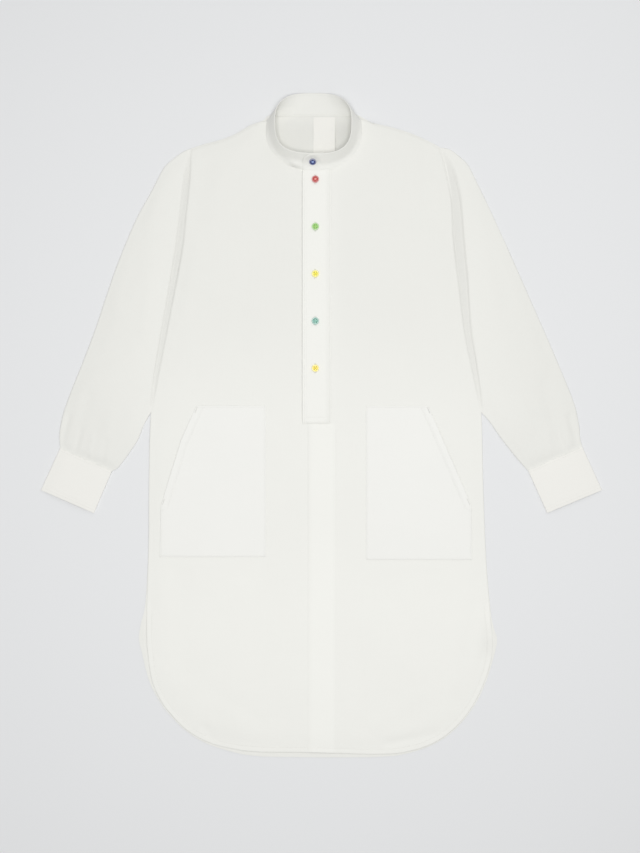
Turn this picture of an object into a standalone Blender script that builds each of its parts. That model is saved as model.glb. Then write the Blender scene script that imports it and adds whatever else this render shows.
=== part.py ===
"""A long-sleeved cotton nightshirt with a stand collar, laid flat on its back with the front up.

The scene is in metres with +Z up: +X is the wearer's left, +Y runs towards the collar, and the origin
is at mid body on the surface that the garment lies on. Every size below is in millimetres, and
wall() and the other makers turn them into metres.
"""

import math

import bmesh
import bpy
import numpy as np
from mathutils import Vector
from mathutils.bvhtree import BVHTree

MM = 0.001

# Cloth and seams
CLOTH = 1.2  # one layer of cloth
DOUBLED = 1.6  # two layers pressed together: collar, cuffs and placket
GAP = 0.35  # between a piece and the one that it rests on
PANEL_GAP = 0.55  # the same for a whole panel, whose facets differ from those under it
SEAM = 0.85 # between two curved edges that are sewn together

# Neck seam, where the collar meets the panels: round at the front, square at the back
NECK_X = -3.0
NECK_Y = 452.0
NECK_HALF_WIDTH = 74.4
NECK_FRONT = 53.6
NECK_BACK = 27.0
NECK_BACK_SQUARENESS = 6.0
NECK_MARGIN = 1.5  # from the middle of the collar's wall out to the front's edge
BACK_NECK_MARGIN = 0.9  # and in to the back's edge
NECK_POINT_RIGHT_Y = 461.9  # where the shoulder seams meet the neck
NECK_POINT_LEFT_Y = 474.3

# Rim of the stand collar, an oval that leans back over the neck
RIM_Y = 465.5
RIM_HALF_WIDTH = 60.0
RIM_HALF_DEPTH = 49.0
COLLAR_END = -0.044  # share of the neck seam by which the upper end passes the front centre
COLLAR_UNDER_END = 1.046  # and the lower end, after going all the way round
COLLAR_CORNER = 8.0  # radius of the collar's front corner
COLLAR_COLUMNS = 58
COLLAR_ROWS = 6
COLLAR_BOW_OUT = 0.15  # how much further out than a straight cone the front stands, as a share
COLLAR_BOW_DOWN = 0.35  # and how much lower it lies before it turns up
COLLAR_OFF_SURFACE = 0.1

# Where the collar's seam changes height, as shares of the way from front centre to back centre
SHOULDER_BLEND = (0.50, 0.66)  # from the front's edge down to just over the back
BACK_BLEND = (0.68, 0.82)  # from there down to the surface
TUCK_BLEND = (0.78, 0.93)  # share of the whole seam over which the lower end moves in under the upper one
TUCK_GAP = 0.5

# Heights of the collar round the neck. Columns: share of the way from front centre to back centre, rim height
COLLAR_HEIGHTS = [
    (0.00, 25.0),
    (0.25, 28.0),
    (0.50, 30.0),
    (0.64, 26.5),
    (0.76, 17.0),
    (0.86, 6.5),
    (0.94, 2.0),
    (1.00, 0.9),
]

# Shoulder seams, from the neck out. Columns: x, y
SHOULDER_LEFT = [(86.8, 468.1), (114.7, 461.9), (145.7, 452.6), (176.7, 438.7), (193.8, 429.4)]
SHOULDER_RIGHT = [(-102.3, 454.2), (-124.0, 446.4), (-147.0, 440.2), (-173.6, 434.8), (-195.3, 427.8)]

# Body edge from the shoulder point down the armhole and side. Columns: x, y
ARMHOLE_AND_SIDE_LEFT = [
    (193.8, 429.4),
    (202.5, 395.0),
    (215.5, 325.5),
    (224.5, 243.0),
    (233.5, 162.8),
    (246.5, 85.3),
    (256.0, 20.2),
    (259.0, -85.3),
    (263.0, -193.8),
]
ARMHOLE_AND_SIDE_RIGHT = [
    (-195.3, 427.8),
    (-201.5, 380.0),
    (-209.3, 325.5),
    (-220.5, 243.0),
    (-236.5, 146.0),
    (-250.5, 62.0),
    (-257.0, 0.0),
    (-259.0, -93.0),
    (-259.5, -178.3),
]

# Front hem from the side round to near the centre front. Columns: x, y
FRONT_HEM_LEFT = [
    (269.5, -286.8),
    (273.6, -333.3),
    (271.0, -366.0),
    (259.5, -402.5),
    (239.5, -441.0),
    (210.5, -474.0),
    (176.0, -496.0),
    (130.2, -508.5),
    (83.7, -510.5),
]
FRONT_HEM_RIGHT = [
    (-262.0, -271.3),
    (-262.7, -320.0),
    (-261.0, -352.0),
    (-254.5, -395.3),
    (-240.3, -427.8),
    (-221.5, -452.6),
    (-196.5, -475.9),
    (-162.5, -493.5),
    (-117.8, -504.0),
    (-83.7, -507.0),
]
FRONT_HEM_Y = -508.0  # at the centre front

# Back hem, a little longer and wider at the vents. Columns: x, y
BACK_HEM_LEFT = [
    (270.5, -286.8),
    (276.0, -316.0),
    (280.5, -331.0),
    (277.5, -352.0),
    (262.0, -402.0),
    (241.5, -441.0),
    (212.0, -475.0),
    (177.5, -497.0),
    (130.2, -511.5),
    (83.7, -515.0),
]
BACK_HEM_RIGHT = [
    (-264.0, -271.3),
    (-271.3, -308.0),
    (-274.5, -330.0),
    (-270.0, -352.0),
    (-259.0, -395.3),
    (-243.0, -427.8),
    (-224.0, -452.6),
    (-199.0, -475.9),
    (-165.0, -495.5),
    (-117.8, -509.5),
    (-83.7, -514.0),
]
BACK_HEM_Y = -515.2

# The front panel
SLIT = 1.0  # width of the neck slit under the placket
SLIT_END_Y = 12.0
NECK_ROWS = 16
SLIT_ROWS = 12
PLEAT_ROWS = 15
NECK_ROWS_SHARE = 0.125  # of the way down the side, reached by the rows that start at the neck
FRONT_SHARES = [0.16, 0.34, 0.54, 0.73, 0.86, 0.945, 1.0]  # columns between the pleat and the side
PLEAT_CLEAR = 14.0  # from the pleat's fold to the first of them
SHOULDER_ROWS = 7  # rows over which the shoulder's curve dies out
LAYER_GAP = 0.3  # between two layers where they are pressed together
EDGE_TOP = 2 * CLOTH + LAYER_GAP  # the front's upper side where it meets the back along an edge
PUFF = 1.9  # how far the front stands over that in the middle
EDGE_ROLL = 13.0
NECK_RISE = 1.7
NECK_REACH = 24.0
PLEAT_FROM_X = -14.0  # the box pleat let out below the slit
PLEAT_TO_X = 32.5
PLEAT_STEP = 1.2
PLEAT_HEIGHT = 1.2
PLEAT_RISE = 11.0  # how far below the placket the pleat reaches that height
PLEAT_FADE = 0.7  # share of it that is lost on the way to the hem

# Points along the back's outline
BACK_NECK_POINTS = 41
SHOULDER_POINTS = 11
SIDE_POINTS = 50

# Soft creases in the front. Columns: x and y of one end, x and y of the other, half width, height
CREASES = [
    (176.0, 428.0, 171.0, 305.0, 13.0, -0.8),
    (150.0, 420.0, 148.0, 330.0, 11.0, 0.45),
    (-168.0, 415.0, -184.0, 300.0, 14.0, -0.6),
    (-120.0, 425.0, -150.0, 380.0, 13.0, 0.5),
    (212.0, 262.0, 150.0, 214.0, 14.0, 0.6),
    (-214.0, 236.0, -158.0, 205.0, 12.0, 0.5),
    (232.0, 60.0, 176.0, 88.0, 12.0, 0.5),
    (-238.0, 40.0, -190.0, 70.0, 12.0, -0.5),
    (-112.0, -262.0, -128.0, -470.0, 22.0, 0.6),
    (118.0, -255.0, 138.0, -450.0, 24.0, -0.55),
    (206.0, -232.0, 214.0, -400.0, 17.0, 0.55),
    (-212.0, -236.0, -205.0, -380.0, 18.0, -0.5),
]

# Sleeves: outer fold from the shoulder point to the cuff. Columns: x, y
SLEEVE_OUTER_LEFT = [
    (194.6, 430.0),
    (208.5, 426.5),
    (223.2, 415.5),
    (236.0, 402.5),
    (247.5, 380.0),
    (269.7, 334.0),
    (293.0, 283.0),
    (316.2, 231.0),
    (339.5, 178.0),
    (365.8, 117.8),
    (388.0, 65.1),
    (401.0, 31.0),
    (407.7, 0.0),
    (409.5, -20.2),
    (412.8, -33.4),
]
SLEEVE_OUTER_RIGHT = [
    (-196.1, 428.4),
    (-209.0, 421.6),
    (-223.2, 411.0),
    (-236.5, 397.5),
    (-254.2, 364.0),
    (-280.6, 314.7),
    (-307.5, 250.0),
    (-325.5, 198.4),
    (-342.6, 147.3),
    (-361.2, 98.0),
    (-378.2, 55.8),
    (-391.5, 18.6),
    (-397.6, -12.4),
    (-396.6, -35.6),
]
UNDERARM_Y = 174.0  # the sleeve is sewn in above this and tucked against the side below it
PARTING_Y = 20.0  # where the sleeve leaves the side

# Sleeve under edge from where it leaves the side to the cuff. Columns: x, y
SLEEVE_UNDER_LEFT = [(269.0, 5.0), (285.2, -18.6), (306.9, -46.5), (323.0, -65.0), (328.3, -70.4)]
SLEEVE_UNDER_RIGHT = [(-266.5, 0.0), (-276.0, -23.3), (-292.5, -48.1), (-306.5, -66.0), (-316.0, -71.4)]
SLEEVE_SECTIONS = 19
SLEEVE_LEAN = 1.15  # how much closer together the sections start on the outer fold
SLEEVE_RISE = 3  # sections over which the height grows from the armhole
SLEEVE_FALL = 4  # and over which it falls to the cuff's
SLEEVE_HEIGHT = 5.9

# A flattened tube, such as a sleeve or a cuff, in section
TUBE_EDGE_PLACES = [1.4, 5.0, 12.0]  # distances in from each fold
TUBE_MIDDLE_SHARES = [0.14, 0.29, 0.43, 0.57, 0.71, 0.86]  # of the way between the last of those
TUBE_ROLL = 10.0  # how far in the upper side reaches its height
TUBE_UNDER_PLACE = 1.2  # how far in the under side meets the surface
TUBE_INNER_FOLD = 0.1  # the inner fold, further in than the cloth's thickness
TUBE_INNER_PLACE = 0.8  # the next inner point, likewise

# Soft creases in the sleeves. Columns: x and y of one end, x and y of the other, half width, height
SLEEVE_CREASES_LEFT = [
    (262.0, 330.0, 300.0, 190.0, 13.0, -0.7),
    (290.0, 120.0, 352.0, 88.0, 12.0, 0.6),
    (352.0, 60.0, 378.0, -28.0, 9.0, -0.8),
    (322.0, 30.0, 340.0, -40.0, 10.0, 0.5),
]
SLEEVE_CREASES_RIGHT = [
    (-262.0, 330.0, -296.0, 200.0, 13.0, -0.6),
    (-282.0, 110.0, -338.0, 76.0, 12.0, 0.6),
    (-352.0, 45.0, -374.0, -26.0, 9.0, -0.8),
    (-316.0, 20.0, -330.0, -46.0, 10.0, 0.5),
]

# Cuffs: the corners of each, at the sleeve and at the wrist. Columns: outer x, outer y, inner x, inner y
CUFF_LEFT = [(413.0, -34.0, 328.5, -71.0), (443.3, -100.8, 358.0, -136.4)]
CUFF_RIGHT = [(-396.9, -36.2, -316.3, -72.0), (-426.3, -100.8, -344.0, -136.6)]
CUFF_HEIGHT = 5.2
CUFF_SECTIONS = 4

# Placket strip
PLACKET_FROM_X = -21.7
PLACKET_TO_X = 23.3
PLACKET_END_Y = 3.0
PLACKET_COLUMNS = 9
PLACKET_INSET = 0.4  # from the front's neck edge

# Patch pockets: rows from the top down. Columns: y, x of the edge near the centre, x of the side edge
POCKET_LEFT = [
    (29.5, 77.5, 173.6),
    (-124.0, 77.5, 240.3),
    (-208.5, 77.5, 241.8),
]
POCKET_RIGHT = [
    (30.0, -77.5, -185.0),
    (-24.0, -77.5, -209.0),
    (-124.0, -77.5, -240.0),
    (-204.0, -77.5, -242.0),
]
POCKET_ROW = 20.0
POCKET_COLUMNS = 7

# Label, sewn into the back neck seam
LABEL_FROM_X = -3.9
LABEL_TO_X = 29.5
LABEL_FROM_Y = 477.0
LABEL_TO_Y = 420.5
LABEL_THICK = 1.0
LABEL_LIFT = 2.4  # of the far corner
LABEL_LIFT_START = 1.6  # how much sooner than the whole length the lift is reached
LABEL_CURL = 2.5  # power by which the lift grows across the label
LABEL_POINTS = 6

# Buttons: 18-line, four holes
BUTTON_RADIUS = 5.7
BUTTON_THICK = 2.4
BUTTON_HOLE = 0.9
BUTTON_HOLE_SPACING = 1.6
BUTTON_SIDES = 20
BUTTON_FIRST_Y = 379.8
BUTTON_PITCH = 73.0
BUTTON_X = -1.0
COLLAR_BUTTON_UP = 0.46  # share of the collar's height
# Half section of a button. Columns: share of the radius, share of the thickness
BUTTON_PROFILE = [
    (0.0, 0.62),
    (0.56, 0.62),
    (0.70, 1.0),
    (0.88, 1.0),
    (1.0, 0.7),
    (1.0, 0.35),
    (0.86, 0.0),
    (0.0, 0.0),
]
# Columns: name, colour
BUTTONS = [
    ("button_1_blue", (0.060, 0.105, 0.380)),
    ("button_2_red", (0.560, 0.050, 0.040)),
    ("button_3_green", (0.270, 0.560, 0.110)),
    ("button_4_yellow", (0.870, 0.700, 0.040)),
    ("button_5_teal", (0.130, 0.420, 0.340)),
    ("button_6_yellow", (0.870, 0.700, 0.040)),
]

WHITE = (0.86, 0.845, 0.80)


def clear_scene():
    for obj in list(bpy.data.objects):
        bpy.data.objects.remove(obj, do_unlink=True)


def new_collection(name, hidden=False):
    collection = bpy.data.collections.new(name)
    collection.hide_render = hidden
    bpy.context.scene.collection.children.link(collection)
    return collection


def material(name, colour, roughness):
    made = bpy.data.materials.new(name)
    made.use_nodes = True
    shader = made.node_tree.nodes["Principled BSDF"]
    shader.inputs["Base Color"].default_value = (*colour, 1.0)
    shader.inputs["Roughness"].default_value = roughness
    return made


def length_of(line):
    return np.linalg.norm(np.diff(line, axis=0), axis=1).sum()


def resampled(points, shares):
    """The points of a polyline that lie at these shares of its length."""
    points = np.asarray(points, float)
    steps = np.linalg.norm(np.diff(points, axis=0), axis=1)
    along = np.concatenate([[0.0], np.cumsum(steps)])
    at = np.asarray(shares) * along[-1]
    return np.stack([np.interp(at, along, column) for column in points.T], axis=1)


def smooth(points):
    """A fine polyline on the smooth curve through these points."""
    points = np.asarray(points, float)
    padded = np.vstack([2 * points[0] - points[1], points, 2 * points[-1] - points[-2]])
    fine = []
    for a, b, c, d in zip(padded, padded[1:], padded[2:], padded[3:]):
        for t in np.linspace(0, 1, 16, endpoint=False):
            bend = (c - a) * t + (2 * a - 5 * b + 4 * c - d) * t**2 + (3 * b - a - 3 * c + d) * t**3
            fine.append(b + bend / 2)
    return np.array(fine + [points[-1]])


def eased(share):
    share = np.clip(share, 0, 1)
    return share * share * (3 - 2 * share)


def blended(share, between):
    """From nought to one between two shares."""
    start, end = between
    return eased((share - start) / (end - start))


def from_table(table, at):
    """A smooth value between the rows of a table of two columns."""
    curve = smooth(table)
    return np.interp(at, curve[:, 0], curve[:, 1])


def neck_loop(grow=0.0):
    """The neck seam as a fine closed polyline, from the front centre round by the wearer's left."""
    points = []
    for angle in np.linspace(0, 2 * math.pi, 721):
        across, along = math.sin(angle), math.cos(angle)
        power = 1.0 if along > 0 else 2 / NECK_BACK_SQUARENESS
        depth = (NECK_FRONT if along > 0 else NECK_BACK) + grow
        x = NECK_X + (NECK_HALF_WIDTH + grow) * math.copysign(abs(across) ** power, across)
        y = NECK_Y - depth * math.copysign(abs(along) ** power, along)
        points.append((x, y))
    return np.array(points)


def rim_loop():
    """The collar's rim from above, from the front centre round by the wearer's left."""
    angle = np.linspace(0, 2 * math.pi, 361)
    x = NECK_X + RIM_HALF_WIDTH * np.sin(angle)
    y = RIM_Y - RIM_HALF_DEPTH * np.cos(angle)
    return np.stack([x, y], axis=1)


def neck_share(height, wearers_left):
    """The share of the neck seam at which it reaches this y on that side."""
    loop = neck_loop()
    half = loop[: len(loop) // 2 + 1]
    steps = np.linalg.norm(np.diff(loop, axis=0), axis=1)
    along = np.concatenate([[0.0], np.cumsum(steps)]) / steps.sum()
    share = np.interp(height, half[:, 1], along[: len(half)])
    return share if wearers_left else 1 - share


def neck_edge(start, end, count, grow=NECK_MARGIN):
    """Points on a panel's neck edge, between two shares of the seam, which may pass the front centre."""
    shares = np.linspace(start, end, count) % 1.0
    return resampled(neck_loop(grow), shares)


def side_edge(armhole, hem):
    return smooth(armhole + hem)


def beyond(edge, gap, side):
    """An edge moved out by a gap, to the side given by the sign of x."""
    ahead = np.gradient(edge, axis=0)
    across = np.stack([-ahead[:, 1], ahead[:, 0]], axis=1)
    across /= np.linalg.norm(across, axis=1)[:, None]
    across *= np.sign(across[:, :1]) * side
    return edge + gap * across


def front_outline():
    """The front's edge but for the neck: left shoulder, side and hem, then the right ones back up."""
    left_neck = neck_edge(neck_share(NECK_POINT_LEFT_Y, True), 0, 2)[:1]
    right_neck = neck_edge(neck_share(NECK_POINT_RIGHT_Y, False), 0, 2)[:1]
    left = np.vstack([left_neck, smooth(SHOULDER_LEFT), side_edge(ARMHOLE_AND_SIDE_LEFT, FRONT_HEM_LEFT)])
    right = np.vstack([right_neck, smooth(SHOULDER_RIGHT), side_edge(ARMHOLE_AND_SIDE_RIGHT, FRONT_HEM_RIGHT)])
    return np.vstack([left, [(0.0, FRONT_HEM_Y)], right[::-1]])


def distance_to(line, x, y):
    """How far each point is from a polyline."""
    points = np.stack([np.ravel(x), np.ravel(y)], axis=1)
    best = np.full(len(points), np.inf)
    for a, b in zip(line, line[1:]):
        run = b - a
        share = np.clip((points - a) @ run / max(run @ run, 1e-9), 0, 1)
        best = np.minimum(best, np.linalg.norm(points - a - share[:, None] * run, axis=1))
    return best.reshape(np.shape(x))


def creases(table, x, y):
    height = np.zeros(np.shape(x))
    for x0, y0, x1, y1, half_width, depth in table:
        line = np.array([(x0, y0), (x1, y1)])
        height = height + depth * np.exp(-((distance_to(line, x, y) / half_width) ** 2))
    return height


def front_height(x, y):
    """The height of the front's upper side, without its pleat."""
    rolled = 1 - np.exp(-((distance_to(front_outline(), x, y) / EDGE_ROLL) ** 2))
    off_neck = distance_to(neck_loop(NECK_MARGIN), x, y)
    rise = NECK_RISE * np.exp(-((off_neck / NECK_REACH) ** 2))
    return EDGE_TOP + rise + rolled * (PUFF + creases(CREASES, x, y))


def pleat_height(x, y):
    """How far the folded pleat stands over the front, fading towards the hem."""
    inside = (x > PLEAT_FROM_X + PLEAT_STEP / 2) & (x < PLEAT_TO_X - PLEAT_STEP / 2)
    down = np.clip((PLACKET_END_Y - y) / (PLACKET_END_Y - FRONT_HEM_Y), 0, 1)
    below = y < PLACKET_END_Y - PLEAT_RISE / 2
    return np.where(inside & below, PLEAT_HEIGHT * (1 - PLEAT_FADE * down), 0.0)


def wall(name, outer, inner, faces, finish, home):
    """A closed solid between outer points and the inner points under them, rimmed along open edges."""
    count = len(outer)
    rims = []
    edges = {(a, b) for face in faces for a, b in zip(face, face[1:] + face[:1])}
    for a, b in edges:
        if (b, a) not in edges:
            rims.append((b, a, a + count, b + count))
    under = [tuple(i + count for i in reversed(face)) for face in faces]
    mesh = bpy.data.meshes.new(name)
    points = np.vstack([outer, inner]) * MM
    mesh.from_pydata(points.tolist(), [], faces + under + sorted(rims))
    rounded = bmesh.new()
    rounded.from_mesh(mesh)
    bmesh.ops.recalc_face_normals(rounded, faces=rounded.faces)
    rounded.to_mesh(mesh)
    rounded.free()
    mesh.shade_smooth()
    mesh.set_sharp_from_angle(angle=math.radians(40))
    mesh.materials.append(finish)
    obj = bpy.data.objects.new(name, mesh)
    home.objects.link(obj)
    return obj


def grid_faces(index, ring=False):
    """The quads of a grid of point numbers, closed across its columns when it is a ring."""
    rows, columns = index.shape
    faces = []
    for r in range(rows - 1):
        for c in range(columns if ring else columns - 1):
            d = (c + 1) % columns
            faces.append((int(index[r, c]), int(index[r + 1, c]), int(index[r + 1, d]), int(index[r, d])))
    return faces


def ruled(inner, outer, spread, first, fade):
    """Rows of points from an inner to an outer edge, whose first row follows a curve that dies out."""
    rows = []
    for r, (a, b) in enumerate(zip(inner, outer)):
        width = np.linalg.norm(b - a)
        shares = spread(width) / width
        row = a + (b - a) * shares[:, None]
        if r < fade:
            bow = resampled(first, shares) - (inner[0] + (outer[0] - inner[0]) * shares[:, None])
            row = row + bow * (1 - r / fade) ** 2
        rows.append(row)
    return np.array(rows)


def front_half(wearers_left):
    """The plan of half of the front, as rows from the centre and the neck out to the side and the hem."""
    side = 1 if wearers_left else -1
    near, far = (NECK_POINT_LEFT_Y, 0.0) if wearers_left else (NECK_POINT_RIGHT_Y, 1.0)
    start = neck_share(near, wearers_left)
    loop = neck_loop(NECK_MARGIN)
    centre = far + (side * SLIT / 2 - NECK_X) / length_of(loop)
    neck = neck_edge(start, centre, NECK_ROWS + 1)
    neck[-1] = (side * SLIT / 2, loop[:, 1].min())
    slit = np.linspace(neck[-1][1], SLIT_END_Y, SLIT_ROWS + 1)[1:]
    pleated = np.linspace(PLACKET_END_Y - PLEAT_RISE, FRONT_HEM_Y, PLEAT_ROWS)
    down = np.concatenate([slit, [PLACKET_END_Y], pleated])
    centre_line = [(side * SLIT / 2 if y > SLIT_END_Y else 0.0, y) for y in down]
    inner = np.vstack([neck, centre_line])
    armhole = ARMHOLE_AND_SIDE_LEFT if wearers_left else ARMHOLE_AND_SIDE_RIGHT
    hem = FRONT_HEM_LEFT if wearers_left else FRONT_HEM_RIGHT
    neck_part = np.linspace(0, NECK_ROWS_SHARE, NECK_ROWS + 1)
    body_part = np.linspace(NECK_ROWS_SHARE, 1, len(down) + 1)[1:]
    outer = resampled(side_edge(armhole, hem), np.concatenate([neck_part, body_part]))
    shoulder = np.vstack([neck[:1], smooth(SHOULDER_LEFT if wearers_left else SHOULDER_RIGHT)])
    pleat = PLEAT_TO_X if wearers_left else -PLEAT_FROM_X

    def spread(width):
        fixed = [0.0, pleat - PLEAT_STEP, pleat, pleat + PLEAT_CLEAR]
        return np.concatenate([fixed, fixed[-1] + (width - fixed[-1]) * np.array(FRONT_SHARES)])

    return ruled(inner, outer, spread, shoulder, SHOULDER_ROWS)


def make_front(home, finish):
    left, right = front_half(True), front_half(False)
    rows, columns = left.shape[:2]
    plan = np.vstack([left.reshape(-1, 2), right.reshape(-1, 2)])
    index = np.arange(rows * columns).reshape(rows, columns)
    other = index + rows * columns
    below_slit = [r for r in range(rows) if left[r, 0, 0] == 0.0]
    other[below_slit, 0] = index[below_slit, 0]
    x, y = plan.T
    top = front_height(x, y)
    outer = np.stack([x, y, top + pleat_height(x, y)], axis=1)
    inner = np.stack([x, y, top - CLOTH], axis=1)
    faces = grid_faces(index) + [tuple(reversed(face)) for face in grid_faces(other)]
    used = sorted({i for face in faces for i in face})
    renumbered = {old: new for new, old in enumerate(used)}
    faces = [tuple(renumbered[i] for i in face) for face in faces]
    return wall("front", outer[used], inner[used], faces, finish, home)


def make_back(home, finish):
    """The back lies flat on the surface: a filled outline, extruded."""
    left_neck, right_neck = neck_share(NECK_POINT_LEFT_Y, True), neck_share(NECK_POINT_RIGHT_Y, False)
    shoulder, side = np.linspace(0, 1, SHOULDER_POINTS), np.linspace(0, 1, SIDE_POINTS)
    outline = np.vstack([
        neck_edge(right_neck, left_neck, BACK_NECK_POINTS, -BACK_NECK_MARGIN),
        resampled(smooth(SHOULDER_LEFT), shoulder),
        resampled(side_edge(ARMHOLE_AND_SIDE_LEFT, BACK_HEM_LEFT), side)[1:],
        [(0.0, BACK_HEM_Y)],
        resampled(side_edge(ARMHOLE_AND_SIDE_RIGHT, BACK_HEM_RIGHT), side)[:0:-1],
        resampled(smooth(SHOULDER_RIGHT), shoulder)[::-1],
    ])
    curve = bpy.data.curves.new("back", "CURVE")
    curve.dimensions = "2D"
    curve.fill_mode = "BOTH"
    curve.extrude = CLOTH / 2 * MM
    line = curve.splines.new("POLY")
    line.points.add(len(outline) - 1)
    for point, (x, y) in zip(line.points, outline):
        point.co = (x * MM, y * MM, 0.0, 1.0)
    line.use_cyclic_u = True
    curve.materials.append(finish)
    obj = bpy.data.objects.new("back", curve)
    obj.location.z = CLOTH / 2 * MM
    home.objects.link(obj)
    return obj


def tube_ring(width, height, thick):
    """One ring of a flattened tube: places across it, outer heights, inner places and inner heights."""
    edge = np.array(TUBE_EDGE_PLACES)
    middle = edge[-1] + (width - 2 * edge[-1]) * np.array(TUBE_MIDDLE_SHARES)
    over = np.concatenate([edge, middle, width - edge[::-1]])
    off_edge = np.minimum(over, width - over) - edge[0]
    lowest = 2 * thick + LAYER_GAP
    top = lowest + (height - lowest) * (1 - np.exp(-((off_edge / TUBE_ROLL) ** 2)))
    under = np.concatenate([[width - TUBE_UNDER_PLACE], middle[::-1], [TUBE_UNDER_PLACE]])
    fold = lowest / 2
    place = np.concatenate([[0.0], over, [width], under])
    outer = np.concatenate([[fold], top, [fold], np.zeros(len(under))])
    clear = thick + TUBE_INNER_PLACE
    inner_place = np.clip(place, clear, width - clear)
    inner_fold = thick + TUBE_INNER_FOLD
    inner_place[0], inner_place[len(over) + 1] = inner_fold, width - inner_fold
    inner_top = np.maximum(top - thick, thick + LAYER_GAP)
    inner = np.concatenate([[fold], inner_top, [fold], np.full(len(under), thick)])
    return place, outer, inner_place, inner


def flat_tube(name, inner_edge, outer_edge, heights, thick, first, fade, folds, finish, home):
    """A tube of cloth pressed flat between two folded edges and open at both ends."""
    outer_points, inner_points = [], []
    lowest = 2 * thick + LAYER_GAP
    rings = []
    for r, height in enumerate(heights):
        width = np.linalg.norm(outer_edge[r] - inner_edge[r])
        rings.append(tube_ring(width, height, thick))
    for which, points, least in ((0, outer_points, lowest), (2, inner_points, lowest - thick)):
        plan = ruled(inner_edge, outer_edge, lambda width: tube_ring(width, lowest, thick)[which], first, fade)
        for row, ring in zip(plan, rings):
            raised = ring[1] > lowest
            lift = np.where(raised, creases(folds, row[:, 0], row[:, 1]), 0.0)
            z = np.where(raised, np.maximum(ring[which + 1] + lift, least), ring[which + 1])
            points.extend(np.column_stack([row, z]))
    count = len(rings[0][0])
    index = np.arange(len(heights) * count).reshape(len(heights), count)
    faces = grid_faces(index, ring=True)
    return wall(name, np.array(outer_points), np.array(inner_points), faces, finish, home)


def make_sleeve(name, wearers_left, finish, home):
    side = 1 if wearers_left else -1
    armhole = ARMHOLE_AND_SIDE_LEFT if wearers_left else ARMHOLE_AND_SIDE_RIGHT
    hem = BACK_HEM_LEFT if wearers_left else BACK_HEM_RIGHT
    body = beyond(side_edge(armhole, hem), SEAM, side)
    sewn = body[body[:, 1] >= UNDERARM_Y]
    tucked = body[(body[:, 1] < UNDERARM_Y) & (body[:, 1] > PARTING_Y)]
    free = SLEEVE_UNDER_LEFT if wearers_left else SLEEVE_UNDER_RIGHT
    under = np.vstack([sewn[-1:], tucked, smooth([tuple(tucked[-1])] + free)[1:]])
    shares = np.linspace(0, 1, SLEEVE_SECTIONS)
    inner_edge = resampled(under, shares)
    outer = smooth(SLEEVE_OUTER_LEFT if wearers_left else SLEEVE_OUTER_RIGHT)
    outer_edge = resampled(outer, shares**SLEEVE_LEAN)
    outer_edge[0] = sewn[0]
    rise = eased(shares * (SLEEVE_SECTIONS - 1) / SLEEVE_RISE)
    fall = eased((1 - shares) * (SLEEVE_SECTIONS - 1) / SLEEVE_FALL)
    heights = EDGE_TOP + (SLEEVE_HEIGHT - EDGE_TOP) * rise
    heights = CUFF_HEIGHT + (heights - CUFF_HEIGHT) * np.where(shares > 1 / 2, fall, 1.0)
    folds = SLEEVE_CREASES_LEFT if wearers_left else SLEEVE_CREASES_RIGHT
    first = sewn[::-1]
    return flat_tube(name, inner_edge, outer_edge, heights, CLOTH, first, SHOULDER_ROWS, folds, finish, home)


def make_cuff(name, corners, finish, home):
    rows = np.array(corners)
    shares = np.linspace(0, 1, CUFF_SECTIONS)
    outer_edge = resampled(rows[:, :2], shares)
    inner_edge = resampled(rows[:, 2:], shares)
    first = np.array([inner_edge[0], outer_edge[0]])
    heights = np.full(len(shares), CUFF_HEIGHT)
    return flat_tube(name, inner_edge, outer_edge, heights, DOUBLED, first, 1, [], finish, home)


def collar_grid():
    """The middle of the collar's wall, by column round the neck and by row from seam to rim."""
    shares = np.linspace(COLLAR_END, COLLAR_UNDER_END, COLLAR_COLUMNS)
    seam = resampled(neck_loop(), shares % 1.0)
    rim = resampled(rim_loop(), shares % 1.0)
    to_back = 2 * np.minimum(shares % 1.0, 1 - shares % 1.0)
    panel = front_height(seam[:, 0], seam[:, 1]) - CLOTH / 2
    lying = DOUBLED / 2 + COLLAR_OFF_SURFACE
    over_back = CLOTH + GAP + DOUBLED / 2
    seam_z = over_back + (panel - over_back) * (1 - blended(to_back, SHOULDER_BLEND))
    seam_z = lying + (seam_z - lying) * (1 - blended(to_back, BACK_BLEND))
    rim_z = from_table(COLLAR_HEIGHTS, to_back)
    length = length_of(neck_loop())
    from_end = np.minimum(shares - COLLAR_END, COLLAR_UNDER_END - shares) * length
    short = np.clip(COLLAR_CORNER - from_end, 0, COLLAR_CORNER)
    cut = COLLAR_CORNER - np.sqrt(COLLAR_CORNER**2 - short**2)
    grid = []
    for row in np.linspace(0, 1, COLLAR_ROWS):
        height = np.linalg.norm(np.column_stack([rim, rim_z]) - np.column_stack([seam, seam_z]), axis=1)
        up = row * (1 - cut / height)
        bow = np.cos(to_back * math.pi / 2) ** 2
        across = 2 * up * (1 - up) * (1 / 2 + COLLAR_BOW_OUT * bow) + up**2
        rising = 2 * up * (1 - up) * (1 / 2 - COLLAR_BOW_DOWN * bow) + up**2
        plan = seam + (rim - seam) * across[:, None]
        grid.append(np.column_stack([plan, seam_z + (rim_z - seam_z) * rising]))
    return np.array(grid), shares


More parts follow.
